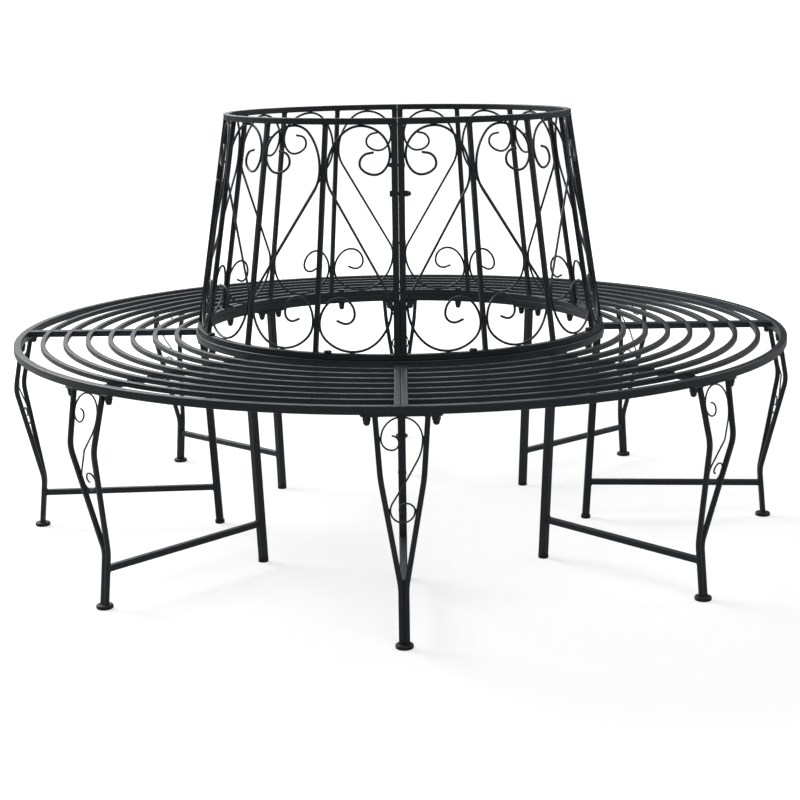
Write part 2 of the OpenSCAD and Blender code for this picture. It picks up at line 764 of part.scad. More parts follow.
// A path's point stood up in the leg's surface, which leans both ways from the knee
function on_leg(p) = let (lean = p[1] > 0 ? upper_lean : -lower_lean)
    [knee_r - p[1] * sin(lean), p[0], knee_h + p[1] * cos(lean)];

// Ring of the section around a path's point, in the surface of the leg
function leg_ring(p) =
    let (
        at_knee = abs(p[1]) < leg_wire_d / 2,
        lean = at_knee ? (upper_lean - lower_lean) / 2 : p[1] > 0 ? upper_lean : -lower_lean,
        flat = to_dir(p[2] - 90),
        across = [-flat[1] * sin(lean), flat[0], flat[1] * cos(lean)],
        out = [cos(lean), 0, sin(lean)]
    ) [
        for (j = [0 : wire_sides - 1])
            let (f = 360 * j / wire_sides)
                on_leg(p) + (across * cos(f) + out * sin(f)) * leg_wire_d / 2
    ];

module leg_scroll() {
    halves = leg_scroll_path();
    sweep([for (p = concat(halves[0], halves[1])) leg_ring(p)]);
}

module leg_scrolls() {
    color("#1f2224") at_each_leg() leg_scroll();
}

// Plates on top of the legs

// A flat bar along the tangent with cut corners and two stud holes
module leg_plate(r, bottom, length, width, corner, stud_r, stud_half) {
    difference() {
        translate([r, 0, bottom]) linear_extrude(plate_t) polygon([
            [-width / 2, -length / 2 + corner], [-width / 2 + corner, -length / 2],
            [width / 2 - corner, -length / 2], [width / 2, -length / 2 + corner],
            [width / 2, length / 2 - corner], [width / 2 - corner, length / 2],
            [-width / 2 + corner, length / 2], [-width / 2, length / 2 - corner]
        ]);
        for (side = [-1, 1])
            translate([stud_r, side * stud_half, bottom - past])
                cylinder(h = plate_t + 2 * past, d = stud_d + hole_clearance);
    }
}

module outer_leg_plates() {
    color("#34393b") at_each_leg()
        leg_plate(outer_plate_r, outer_plate_bottom, outer_plate_l, outer_plate_w,
            outer_plate_corner, outer_stud_r, outer_stud_half);
}

module inner_leg_plates() {
    color("#34393b") at_each_leg()
        leg_plate(inner_leg_top_r, inner_plate_bottom, inner_plate_l, inner_leg_w,
            inner_plate_corner, inner_stud_r, inner_stud_half);
}

// Feet

module outer_feet() {
    r = outer_foot_d / 2;
    high = groove_low + groove_w;
    edge = groove_depth;
    color("#17191a") at_each_leg() translate([outer_foot_r, 0, 0]) rotate_extrude() polygon([
        [0, 0], [r - foot_edge, 0], [r, foot_edge], [r, groove_low - edge / 2],
        [r - edge, groove_low], [r - edge, high - edge], [r, high],
        [r, foot_h - foot_shoulder], [r - foot_shoulder, foot_h], [0, foot_h]
    ]);
}

module inner_feet() {
    r = inner_foot_d / 2;
    color("#17191a") at_each_leg() translate([inner_foot_r, 0, 0]) rotate_extrude() polygon([
        [0, 0], [r - foot_edge, 0], [r, foot_edge], [r, foot_h - foot_edge],
        [r - foot_edge, foot_h], [0, foot_h]
    ]);
}

// Fasteners

// Children at every stud of the leg frames, with +Z down and Z 0 at the plate's underside
module at_studs() {
    at_each_leg() for (side = [-1, 1]) {
        translate([outer_stud_r, side * outer_stud_half, outer_plate_bottom])
            rotate([180, 0, 0]) children();
        translate([inner_stud_r, side * inner_stud_half, inner_plate_bottom])
            rotate([180, 0, 0]) children();
    }
}

// Angles of the bolts that hold a backrest panel to the seat
function ring_bolt_angles(number) = let (toward = number % 2 == 1 ? 1 : -1)
    [bay_angle + toward * bolt_off_post, 3 * bay_angle + toward * bolt_off_post];

module ring_bolt_holes(number) {
    for (a = ring_bolt_angles(number))
        rotate([0, 0, a]) translate([ring_bolt_r, 0, inner_bottom - past])
            cylinder(h = rim_w + back_rail_w + 2 * past, d = stud_d + hole_clearance);
}

// Children at every bolt that holds the backrest to the seat, with Z 0 at the given height
// and +Z down along the shank
module at_ring_bolts(z) {
    for (number = [1 : panels], a = ring_bolt_angles(number))
        at_panel(number) rotate([0, 0, a])
            translate([ring_bolt_r, 0, z]) rotate([180, 0, 0]) children();
}

// Children at every seam of the backrest at the height z, with Z 0 in the middle of the
// seam and +Z along the bolt
module at_seam_bolts(z) {
    at_each_panel() seam_bolt_axis(z) children();
}

module hexagon(w, h) {
    cylinder(h = h, d = w / cos(30), $fn = 6);
}

module washer() {
    difference() {
        cylinder(h = washer_t, d = washer_d);
        translate([0, 0, -past]) cylinder(h = washer_t + 2 * past, d = stud_d + hole_clearance);
    }
}

// A closed nut with a round dome, for the thread d
module cap_nut(d, hex_w, hex_t, h, dome_d, bore_depth) {
    r = dome_d / 2;
    difference() {
        union() {
            hexagon(hex_w, hex_t);
            translate([0, 0, hex_t]) cylinder(h = h - hex_t - r, r = r);
            translate([0, 0, h - r]) sphere(r = r);
        }
        translate([0, 0, -past]) cylinder(h = bore_depth + past, d = d + thread_clearance);
    }
}

module stud_nut() {
    cap_nut(stud_d, stud_hex_w, stud_nut_hex_t, stud_nut_h, stud_dome_d, stud_bore_depth);
}

module seam_nut() {
    cap_nut(seam_bolt_d, seam_hex_w, seam_nut_hex_t, seam_nut_h, seam_dome_d, seam_bore_depth);
}

module thin_nut() {
    difference() {
        hexagon(seam_hex_w, thin_nut_t);
        translate([0, 0, -past])
            cylinder(h = thin_nut_t + 2 * past, d = seam_bolt_d + thread_clearance);
    }
}

// A bolt whose shank runs from Z 0 along +Z, with its head behind Z 0
module bolt(d, hex_w, head_t, length) {
    translate([0, 0, -head_t]) hexagon(hex_w, head_t);
    cylinder(h = length, d = d);
}

module seam_bolt(length) {
    translate([0, 0, -end_post_face]) bolt(seam_bolt_d, seam_hex_w, seam_head_t, length);
}

module rim_studs() {
    color("#4a4f52") at_studs() translate([0, 0, -plate_t])
        cylinder(h = plate_t + washer_t + stud_in_nut, d = stud_d);
}

// The scroll wire passes just beside the lower seam bolt, so its nut is a thin one
module back_bolts() {
    color("#2b2f31") {
        at_ring_bolts(bottom_rail_top)
            bolt(stud_d, stud_hex_w, stud_head_t,
                bottom_rail_top - inner_bottom + washer_t + stud_in_nut);
        at_seam_bolts(seam_bolt_high) seam_bolt(2 * end_post_face + seam_in_nut);
        at_seam_bolts(seam_bolt_low) seam_bolt(2 * end_post_face + thin_nut_t);
    }
}

module washers() {
    color("#2b2f31") {
        at_studs() washer();
        at_ring_bolts(inner_bottom) washer();
    }
}

module nuts() {
    color("#2b2f31") {
        at_studs() translate([0, 0, washer_t]) stud_nut();
        at_ring_bolts(inner_bottom) translate([0, 0, washer_t]) stud_nut();
        at_seam_bolts(seam_bolt_high) translate([0, 0, end_post_face]) seam_nut();
        at_seam_bolts(seam_bolt_low) translate([0, 0, end_post_face]) thin_nut();
    }
}

seat_outer_rim(1);  // seat_outer_rim_1
seat_outer_rim(2);  // seat_outer_rim_2
seat_outer_rim(3);  // seat_outer_rim_3
seat_outer_rim(4);  // seat_outer_rim_4
seat_inner_rim(1);  // seat_inner_rim_1
seat_inner_rim(2);  // seat_inner_rim_2
seat_inner_rim(3);  // seat_inner_rim_3
seat_inner_rim(4);  // seat_inner_rim_4
seat_slats(1);  // seat_slats_1
seat_slats(2);  // seat_slats_2
seat_slats(3);  // seat_slats_3
seat_slats(4);  // seat_slats_4
seat_cross_bars(1);  // seat_cross_bars_1
seat_cross_bars(2);  // seat_cross_bars_2
seat_cross_bars(3);  // seat_cross_bars_3
seat_cross_bars(4);  // seat_cross_bars_4
back_top_rail(1);  // back_top_rail_1
back_top_rail(2);  // back_top_rail_2
back_top_rail(3);  // back_top_rail_3
back_top_rail(4);  // back_top_rail_4
back_bottom_rail(1);  // back_bottom_rail_1
back_bottom_rail(2);  // back_bottom_rail_2
back_bottom_rail(3);  // back_bottom_rail_3
back_bottom_rail(4);  // back_bottom_rail_4
back_posts(1);  // back_posts_1
back_posts(2);  // back_posts_2
back_posts(3);  // back_posts_3
back_posts(4);  // back_posts_4
back_scrolls(1);  // back_scrolls_1
back_scrolls(2);  // back_scrolls_2
back_scrolls(3);  // back_scrolls_3
back_scrolls(4);  // back_scrolls_4
outer_leg(1);  // outer_leg_1
outer_leg(2);  // outer_leg_2
outer_leg(3);  // outer_leg_3
outer_leg(4);  // outer_leg_4
outer_leg(5);  // outer_leg_5
outer_leg(6);  // outer_leg_6
outer_leg(7);  // outer_leg_7
outer_leg(8);  // outer_leg_8
inner_leg(1);  // inner_leg_1
inner_leg(2);  // inner_leg_2
inner_leg(3);  // inner_leg_3
inner_leg(4);  // inner_leg_4
inner_leg(5);  // inner_leg_5
inner_leg(6);  // inner_leg_6
inner_leg(7);  // inner_leg_7
inner_leg(8);  // inner_leg_8
leg_scrolls();
stretchers();
outer_leg_plates();
inner_leg_plates();
outer_feet();
inner_feet();
rim_studs();
back_bolts();
washers();
nuts();
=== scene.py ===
"""Looks of the round tree bench: rounded tubes, bent wires, weld beads and powder coat, built
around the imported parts. Lengths are in millimetres until a piece is made."""

import math
import random

import bmesh
import bpy
import numpy as np
from mathutils import Matrix, Vector


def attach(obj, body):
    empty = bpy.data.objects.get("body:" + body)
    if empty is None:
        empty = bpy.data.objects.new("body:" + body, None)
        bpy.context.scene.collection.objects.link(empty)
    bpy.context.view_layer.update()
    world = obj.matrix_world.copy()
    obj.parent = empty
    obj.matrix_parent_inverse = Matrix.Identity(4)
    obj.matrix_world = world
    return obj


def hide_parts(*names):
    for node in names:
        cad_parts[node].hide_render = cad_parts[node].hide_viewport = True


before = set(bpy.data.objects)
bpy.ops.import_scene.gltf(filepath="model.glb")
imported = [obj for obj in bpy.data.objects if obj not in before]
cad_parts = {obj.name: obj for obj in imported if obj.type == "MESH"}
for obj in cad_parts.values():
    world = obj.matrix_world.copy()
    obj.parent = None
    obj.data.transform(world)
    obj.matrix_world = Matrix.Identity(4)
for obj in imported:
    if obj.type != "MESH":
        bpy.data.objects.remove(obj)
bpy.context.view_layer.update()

MM = 0.001
X, Y, Z = np.eye(3)
PANELS, BAYS, LEGS = 4, 4, 8
SEAM, CLEAR = 0.4, 0.1  # gap between bolted panels, and between a wire and what holds it

# Seat
SEAT_R, SEAT_H, RIM_W, RIM_CORNER = 800.0, 428.0, 15.0, 2.0
INNER_R, INNER_RISE = 429.5, 5.0
OUTER_FACE_R, RIM_R = SEAT_R - RIM_W, SEAT_R - RIM_W / 2
INNER_RIM_R, INNER_TOP = INNER_R - RIM_W / 2, SEAT_H + INNER_RISE
INNER_BOTTOM, OUTER_BOTTOM = INNER_TOP - RIM_W, SEAT_H - RIM_W
SLATS, SLAT_W, SLAT_CORNER, SLAT_OUTER_GAP = 7, 10.0, 1.6, 38.0
SLAT_GAP = (OUTER_FACE_R - INNER_R - SLAT_OUTER_GAP - SLATS * SLAT_W) / SLATS
SLAT_RADII = [INNER_R + SLAT_GAP + SLAT_W / 2 + i * (SLAT_W + SLAT_GAP) for i in range(SLATS)]
RAIL_W, RAIL_CORNER = 12.0, 1.6
RAIL_OFFSET, RAIL_FACE = SEAM / 2 + RAIL_W / 2, SEAM / 2 + RAIL_W
BAR_W, BAR_CORNER, BAR_LAP = 10.0, 1.5, 2.5

# Backrest
BACK_W, BACK_CORNER, POST_W, POST_CORNER = 12.0, 1.7, 9.0, 1.4
BOTTOM_INSET, TOP_OUTER_R, BACK_H = 3.2, 357.0, 878.5
BOTTOM_R, TOP_R = INNER_R - BOTTOM_INSET - BACK_W / 2, TOP_OUTER_R - BACK_W / 2
BOTTOM_MID, BOTTOM_TOP = INNER_TOP + BACK_W / 2, INNER_TOP + BACK_W
TOP_MID, TOP_BOTTOM = BACK_H - BACK_W / 2, BACK_H - BACK_W
RISE = TOP_MID - BOTTOM_MID
LEAN = math.atan((BOTTOM_R - TOP_R) / RISE)
END_OFFSET, END_FACE = SEAM / 2 + BACK_W / 2, SEAM / 2 + BACK_W
BAY = math.radians(90 / BAYS)
HALF_BAY = BAY / 2

# Backrest scrolls, in their own plane: x across the bay, y up from the bottom rail's middle
BACK_WIRE, SCROLL_OUT = 4.8, 4.0
REACH = BACK_WIRE / 2 + CLEAR
SCROLL_LOW_R = BOTTOM_R * math.cos(HALF_BAY) + SCROLL_OUT
SCROLL_HIGH_R = TOP_R * math.cos(HALF_BAY) + SCROLL_OUT
SCROLL_LEAN = math.atan((SCROLL_LOW_R - SCROLL_HIGH_R) / RISE)
SCROLL_FLOOR = (BOTTOM_TOP + REACH - BOTTOM_MID) / math.cos(SCROLL_LEAN)
SCROLL_ROOF = (TOP_BOTTOM - REACH - BOTTOM_MID) / math.cos(SCROLL_LEAN)
UPPER_TOUCH_DROP, UPPER_CURL_TOUCH_DROP, UPPER_CURL_LOW_DROP = 86.6, 54.6, 90.6
UPPER_CURL_W, UPPER_CURL_RISE = 57.5, 20.9
LOWER_TOUCH, LOWER_CURL_TOUCH, LOWER_CURL_HIGH = 92, 60, 109
LOWER_CURL_W, LOWER_CURL_H, FLOOR_SHIFT = 67.5, 48, 5
CROWN_SHARE, INNER_SHARE, LOW_SHARE = 0.57, 0.64, 0.9
UPPER_SWEEP_R, LOWER_SWEEP_R, CURL_END_R, CURL_STUB = 70, 52, 19, 11
UPPER_END_TURN, LOWER_END_TURN = math.radians(80), math.radians(23)

# Leg frames
PLATE_T, FOOT_H, OUTER_FOOT_R, INNER_FOOT_R = 3.0, 8.0, 782.0, 397.5
OUTER_PLATE_L, OUTER_PLATE_W, OUTER_PLATE_CORNER = 138, 13, 4
INNER_PLATE_L, INNER_PLATE_W, INNER_PLATE_CORNER = 77, 15, 3
OUTER_PLATE_BOTTOM, INNER_PLATE_BOTTOM = OUTER_BOTTOM - PLATE_T, INNER_BOTTOM - PLATE_T
PLATE_OFF_FACE, LEG_OFF_PLATE = 0.5, 1.5
OUTER_PLATE_R = OUTER_FACE_R + PLATE_OFF_FACE + OUTER_PLATE_W / 2
LEG_W, LEG_CORNER, LEG_BEND_R, LEG_APART = 9.5, 3.0, 75.0, 0.15
KNEE_OUT, KNEE_DROP, ANKLE_H, ANKLE_IN = 21.5, 102.0, 106.0, 9.8
LEG_TOP_R, KNEE_R = OUTER_PLATE_R + LEG_OFF_PLATE, RIM_R + KNEE_OUT
ANKLE_R = OUTER_FOOT_R - ANKLE_IN
KNEE_H = OUTER_PLATE_BOTTOM - KNEE_DROP
TOP_HALF, KNEE_HALF, SIDE_HALF = 44.0, 36.5, LEG_W / 2 + LEG_APART
UPPER_LEAN = math.atan((KNEE_R - LEG_TOP_R) / (OUTER_PLATE_BOTTOM - KNEE_H))
LOWER_LEAN = math.atan((KNEE_R - ANKLE_R) / (KNEE_H - ANKLE_H))
FOOT_LEAN = math.atan(ANKLE_IN / (ANKLE_H - FOOT_H))
UPPER_RUN = (OUTER_PLATE_BOTTOM - KNEE_H) / math.cos(UPPER_LEAN)
LOWER_RUN = (KNEE_H - ANKLE_H) / math.cos(LOWER_LEAN)
INNER_LEG_W, INNER_LEG_CORNER, INNER_LEG_IN = 15.0, 1.6, 3.5
INNER_LEG_TOP_R = INNER_RIM_R - INNER_LEG_IN
INNER_LEAN = math.atan((INNER_LEG_TOP_R - INNER_FOOT_R) / (INNER_PLATE_BOTTOM - FOOT_H))
INNER_FACE = INNER_FOOT_R + INNER_LEG_W / 2 / math.cos(INNER_LEAN)
OUTER_FACE = OUTER_FOOT_R - LEG_W / 2 / math.cos(FOOT_LEAN)
INNER_FACE_NORMAL = (math.cos(INNER_LEAN), 0, -math.sin(INNER_LEAN))
OUTER_FACE_NORMAL = (math.cos(FOOT_LEAN), 0, math.sin(FOOT_LEAN))
STRETCHER_W, STRETCHER_CORNER, STRETCHER_OUT_H, STRETCHER_IN_H = 12.0, 1.7, 74.0, 81.0

# Leg scrolls, in the plane of the two bent tubes: y up from the knee
LEG_WIRE = 3.2
LEG_TOUCH_DROP, LEG_LOWER_TOUCH, LEG_LOOP_LOW = 38, 60, 82
LEG_UPPER_SWEEP_R, LEG_LOWER_SWEEP_R = 75, 31
LEG_CURL_R, LEG_CURL_DROP, LEG_CURL_END_R = 18, 18.5, 12
LEG_LOOP_R, LEG_LOOP_INNER_R, LEG_LOOP_END_R = 14, 12, 6.5
UPPER_TILT, LOWER_TILT = math.radians(4), math.radians(9)

# Fasteners
OUTER_STUD_HALF, INNER_STUD_HALF = 58.0, 25.0
OUTER_STUD_R = math.sqrt(RIM_R**2 - OUTER_STUD_HALF**2)
INNER_STUD_R = math.sqrt(INNER_RIM_R**2 - INNER_STUD_HALF**2)
RING_BOLT_R, BOLT_OFF_POST = (BOTTOM_R + INNER_RIM_R) / 2, math.radians(3.5)
SEAM_BOLT_LOW_RISE, SEAM_BOLT_HIGH_DROP = 112, 126.5
SEAM_BOLT_LOW = BOTTOM_TOP + SEAM_BOLT_LOW_RISE
SEAM_BOLT_HIGH = TOP_BOTTOM - SEAM_BOLT_HIGH_DROP
STUD_HEX, STUD_HEAD_T, STUD_NUT_HEX_T, STUD_NUT_H, STUD_DOME_R = 13.0, 5.0, 6.5, 15.0, 6.0
SEAM_HEX, SEAM_HEAD_T, SEAM_NUT_HEX_T, SEAM_NUT_H, SEAM_DOME_R = 10.0, 4.0, 5.5, 12.0, 4.7
SHANK_R, SEAM_IN_NUT, THIN_NUT_T = 3.0, 7.5, 4.0
THREAD_L, THREAD_PITCH, THREAD_DEPTH = 12, 1.0, 0.35
WASHER_R, WASHER_HOLE_R, WASHER_T = 8.0, 4.25, 1.5

# Welds: how far the middle of a bead stands off the metal, and the radii of common beads
TACK_OFF, BEAD_OFF, RAIL_BEAD_OFF = 0.2, 0.3, 0.4
THIN_BEAD, MID_BEAD, THICK_BEAD, STRETCHER_BEAD = 1.1, 1.2, 1.3, 1.5
SHORT_OF_EDGE, SHORT_OF_TOP = 0.5, 1.5  # how far from a tube's edges a bead on it ends
BAR_TACK_L, BAR_TACK_ASIDE = 5, 3
SCROLL_WELD_IN = 1.2
JOINT_BEADS = ((-2.2, 1.2), (0.2, 1.2), (2.4, 1.3))  # depth and radius, where two tubes join
CROTCH_RISE, CROTCH_TACK_RISE, CROTCH_TACKS = 10, 7, (-3, 0, 3)
LUMP_L, LUMP_SPREAD, TAPER, BLUNT = (1.5, 2.0), (0.9, 1.08), 1.4, 0.03  # a bead's ripples, ends

# Distance between the rings of a swept wire, or of a weld bead
BACK_WIRE_STEP, LEG_WIRE_STEP, BEAD_STEP = 1.6, 1.2, 0.8

# Materials: noise scales in cycles a metre, and the part of a noise's range that is used
CLOUD_SCALE, RIPPLE_SCALE, GLOSS_SCALE, GRAIN_SCALE = 9, 120, 260, 700
NOISE_RANGE, GRAIN_RANGE = (0.3, 0.7), (0.35, 0.65)
CLOUD_SHARE, GLOSS_BELOW, GLOSS_ABOVE = 0.6, 0.05, 0.07
PEBBLE_STRENGTH, RIPPLE_STRENGTH, RIPPLE_HEIGHT = 0.35, 0.25, 4
COAT_IOR = 1.42

# Studio, in metres
FLOOR_GREY, WORLD_STRENGTH = 0.45, 0.3
GLOW_RADII, GLOW_STRENGTHS = (1.2, 3.5), (0.62, 1.0)
FLAT_R, BACKDROP_R, BACKDROP_H = 11.0, 5.0, 14.0
LIGHT_AIM = (0, 0, 0.4)
SOFTBOXES = (  # name, place, size, power in watts
    ("key", (-3.4, 2.2, 3.4), (3.0, 2.6), 300),
    ("front", (1.4, -3.4, 4.6), (3.0, 2.0), 80),
    ("right", (3.8, 1.6, 2.6), (2.0, 2.5), 50),
    ("back", (-1.2, 6.0, 2.9), (4.5, 1.8), 80),
)
CAMERA_PLACE, CAMERA_PITCH, CAMERA_ROLL = (0, -3.484, 1.0149), 12.115, 0.802
CAMERA_LENS, CAMERA_SENSOR, CAMERA_SHIFT = 74.92, 36.0, -0.0015


# Meshes. A part is (vertices, faces), in millimetres.

def rounded_square(w, r, steps=5):
    """Points around a square of width w whose corners have radius r."""
    points = []
    for corner in range(4):
        way = math.radians(90 * corner + 45)
        cx, cy = ((w / 2 - r) * math.sqrt(2) * f(way) for f in (math.cos, math.sin))
        for i in range(steps + 1):
            a = math.radians(90 * (corner + i / steps))
            points.append((cx + r * math.cos(a), cy + r * math.sin(a)))
    return points


def loft(rings, closed=False):
    """Quads between rings of the same number of points, with flat ends unless closed."""
    rings = np.asarray(rings, float)
    n, m = rings.shape[:2]
    faces = []
    for i in range(n if closed else n - 1):
        a, b = i * m, (i + 1) % n * m
        for j in range(m):
            k = (j + 1) % m
            faces.append((a + j, a + k, b + k, b + j))
    if not closed:
        faces.append(tuple(range(m))[::-1])
        faces.append(tuple((n - 1) * m + j for j in range(m)))
    return rings.reshape(-1, 3), faces


def about_z(part, angle):
    c, s = math.cos(angle), math.sin(angle)
    turn = np.array([[c, s, 0], [-s, c, 0], [0, 0, 1]])
    return part[0] @ turn, part[1]


def turned(parts, angle):
    return [about_z(p, angle) for p in parts]


def each_leg(part):
    """The part repeated at every leg frame."""
    return [about_z(part, 2 * math.pi * k / LEGS) for k in range(LEGS)]


def placed(part, origin, axis, x_axis):
    """A part drawn along Z, moved so that its Z lies along the axis."""
    axis, x_axis = unit(axis), unit(x_axis)
    turn = np.stack([x_axis, np.cross(axis, x_axis), axis], 1)
    return part[0] @ turn.T + np.array(origin, float), part[1]


def arc_tube(r, z, w, corner, offset, steps=72):
    """A square tube bent around the axis over one panel, cut parallel to both seams."""
    section = rounded_square(w, corner)
    rings = []
    for i in range(steps + 1):
        ring = []
        for u, v in section:
            first = math.asin(offset / (r + u))
            a = first + (math.pi / 2 - 2 * first) * i / steps
            ring.append(((r + u) * math.cos(a), (r + u) * math.sin(a), z + v))
        rings.append(ring)
    return loft(rings)


def bar(origin, x_axis, y_axis, section, cut_a, cut_b):
    """A straight tube whose ends are cut by two functions of a line's start and direction."""
    x_axis, y_axis, origin = (np.array(v, float) for v in (x_axis, y_axis, origin))
    d = np.cross(x_axis, y_axis)
    lines = [origin + u * x_axis + v * y_axis for u, v in section]
    return loft([[p + d * cut(p, d) for p in lines] for cut in (cut_a, cut_b)])


def plane_cut(point, normal):
    point, normal = np.array(point, float), np.array(normal, float)
    return lambda p, d: normal @ (point - p) / (normal @ d)


def drum_cut(r):
    """Cut by a cylinder around the Z axis, on the side that the line points to."""
    def cut(p, d):
        a, b, c = d[:2] @ d[:2], p[:2] @ d[:2], p[:2] @ p[:2] - r * r
        return (-b + math.sqrt(b * b - a * c)) / a
    return cut


def unit(v):
    v = np.asarray(v, float)
    return v / np.linalg.norm(v)


def spun(v, axis, angle):
    """The vector v turned about a unit axis."""
    c, s = math.cos(angle), math.sin(angle)
    return v * c + np.cross(axis, v) * s + axis * (axis @ v) * (1 - c)


def wire(points, radius, sides=14, closed=False):
    """A round wire along the points. Radius is one number, or one for each point."""
    p = np.asarray(points, float)
    n = len(p)
    radii = np.full(n, radius) if np.isscalar(radius) else np.asarray(radius)
    if closed:
        tangents = np.roll(p, -1, 0) - np.roll(p, 1, 0)
    else:
        tangents = np.gradient(p, axis=0)
    tangents /= np.linalg.norm(tangents, axis=1)[:, None]
    side = unit(np.cross(tangents[0], Z if abs(tangents[0][2]) < 0.9 else X))
    a = np.linspace(0, 2 * math.pi, sides, endpoint=False)[:, None]
    rings = []
    for i in range(n):
        side = unit(side - tangents[i] * (side @ tangents[i]))
        up = np.cross(tangents[i], side)
        rings.append(p[i] + radii[i] * (np.cos(a) * side + np.sin(a) * up))
    return loft(rings, closed)


def resampled(points, spacing, closed=False):
    """Points evenly spread along a path, and how far along it each one is."""
    p = np.asarray(points, float)
    if closed:
        p = np.vstack([p, p[:1]])
    s = np.concatenate([[0], np.cumsum(np.linalg.norm(np.diff(p, axis=0), axis=1))])
    count = max(6, int(s[-1] / spacing))
    stops = np.linspace(0, s[-1], count + (0 if closed else 1), endpoint=not closed)
    return np.stack([np.interp(stops, s, p[:, k]) for k in range(3)], 1), stops


chance = random.Random(11)


def bead(points, radius, closed=False):
    """A weld bead along the points: a lumpy round sweep that tapers at open ends."""
    p, s = resampled(points, BEAD_STEP, closed)
    phase, lump = chance.uniform(0, 6), chance.uniform(*LUMP_L)
    r = radius * (0.8 + 0.2 * np.abs(np.sin(math.pi * s / lump + phase)))
    r *= np.array([chance.uniform(*LUMP_SPREAD) for _ in s])
    if not closed:
        ends = np.minimum(s, s[-1] - s) / (TAPER * radius)
        r *= np.sqrt(np.clip(ends * (2 - ends), BLUNT, 1)) * (ends < 1) + (ends >= 1)
    return wire(p, r, sides=8, closed=closed)


def square_loop(center, x_axis, y_axis, half_x, half_y, corner=1.2):
    """Points around a rectangle with rounded corners, for a bead around a tube's end."""
    center, x_axis, y_axis = (np.array(v, float) for v in (center, x_axis, y_axis))
    points = []
    for k in range(4):
        way = math.radians(90 * k + 45)
        cx = (half_x - corner) * np.sign(math.cos(way))
        cy = (half_y - corner) * np.sign(math.sin(way))
        for i in range(4):
            a = math.radians(90 * (k + i / 3))
            points.append(center + x_axis * (cx + corner * math.cos(a))
                          + y_axis * (cy + corner * math.sin(a)))
    return points


def tack(center, direction, length, radius):
    """A short weld between two things that touch at a point."""
    d = unit(direction) * length / 2
    center = np.array(center, float)
    return bead([center - d, center, center + d], radius)


def lathe(profile, sides=48, closed=False):
    """A profile of (radius, height) turned around Z. It ends at the axis, or is a closed ring."""
    a = np.linspace(0, 2 * math.pi, sides, endpoint=False)
    rings = [np.stack([r * np.cos(a), r * np.sin(a), np.full(sides, z)], 1) for r, z in profile]
    return loft(rings, closed)


def hex_lathe(profile, width, sides=60):
    """Like lathe, but no point lies outside a hexagon of that width across its flats."""
    a = np.linspace(0, 2 * math.pi, sides, endpoint=False)
    flat = width / 2 / np.cos((a + math.pi / 6) % (math.pi / 3) - math.pi / 6)
    rings = []
    for r, z in profile:
        rr = np.minimum(flat, r)
        rings.append(np.stack([rr * np.cos(a), rr * np.sin(a), np.full(sides, z)], 1))
    return loft(rings)


# Wire paths in their own plane: points (x, y, heading), as in the part's own bent wires

def to_dir(a):
    return np.array([math.cos(a), math.sin(a)])


def at(q, degrees):
    """A point of a path at the place q, heading that way."""
    return np.array([q[0], q[1], math.radians(degrees)])


def arc_on(p, r, sweep, steps=8):
    s = math.copysign(math.pi / 2, sweep)
    c = p[:2] + r * to_dir(p[2] + s)
    return [np.array([*(c - r * to_dir(p[2] + sweep * i / steps + s)), p[2] + sweep * i / steps])
            for i in range(1, steps + 1)]


def turn_on(p, q, s, steps=8):
    """A quarter turn of an oval from p to the place q, to the left if s is 1, as two arcs."""
    gap = np.array(q, float) - p[:2]
    ahead, aside = gap @ to_dir(p[2]), gap @ to_dir(p[2] + s * math.pi / 2)
    c = math.sqrt(0.5)
    first_r = (ahead * c - aside * (1 - c)) / (2 * c - 1)
    last_r = (aside * c - ahead * (1 - c)) / (2 * c - 1)
    first = arc_on(p, first_r, s * math.pi / 4, steps)
    return first + arc_on(first[-1], last_r, s * math.pi / 4, steps)


def rod_on(p, length):
    return [np.array([*(p[:2] + length * to_dir(p[2])), p[2]])]


def link(upper, lower, r1, r2):
    """Angle to the upright and length of the straight between the two bends of an S."""
    gap = np.array([lower[0] + r2 - upper[0] + r1, lower[1] - upper[1]])
    length = math.sqrt(gap @ gap - (r1 + r2) ** 2)
    return math.atan2(-gap[1], gap[0]) - math.atan2(length, r1 + r2), length


def stood_up(p, r, z, lean):
    """A point (x, y) of a drawing plane stood up across the radius and leaned inward."""
    return np.array([r - p[1] * math.sin(lean), p[0], z + p[1] * math.cos(lean)])


def beside(t, face):
    """Reach from the middle of a bay, at t up the scroll's plane, to a wire on its post."""
    half = (SCROLL_LOW_R - t * math.sin(SCROLL_LEAN)) * math.tan(HALF_BAY)
    return half - (face + REACH) / math.cos(HALF_BAY)


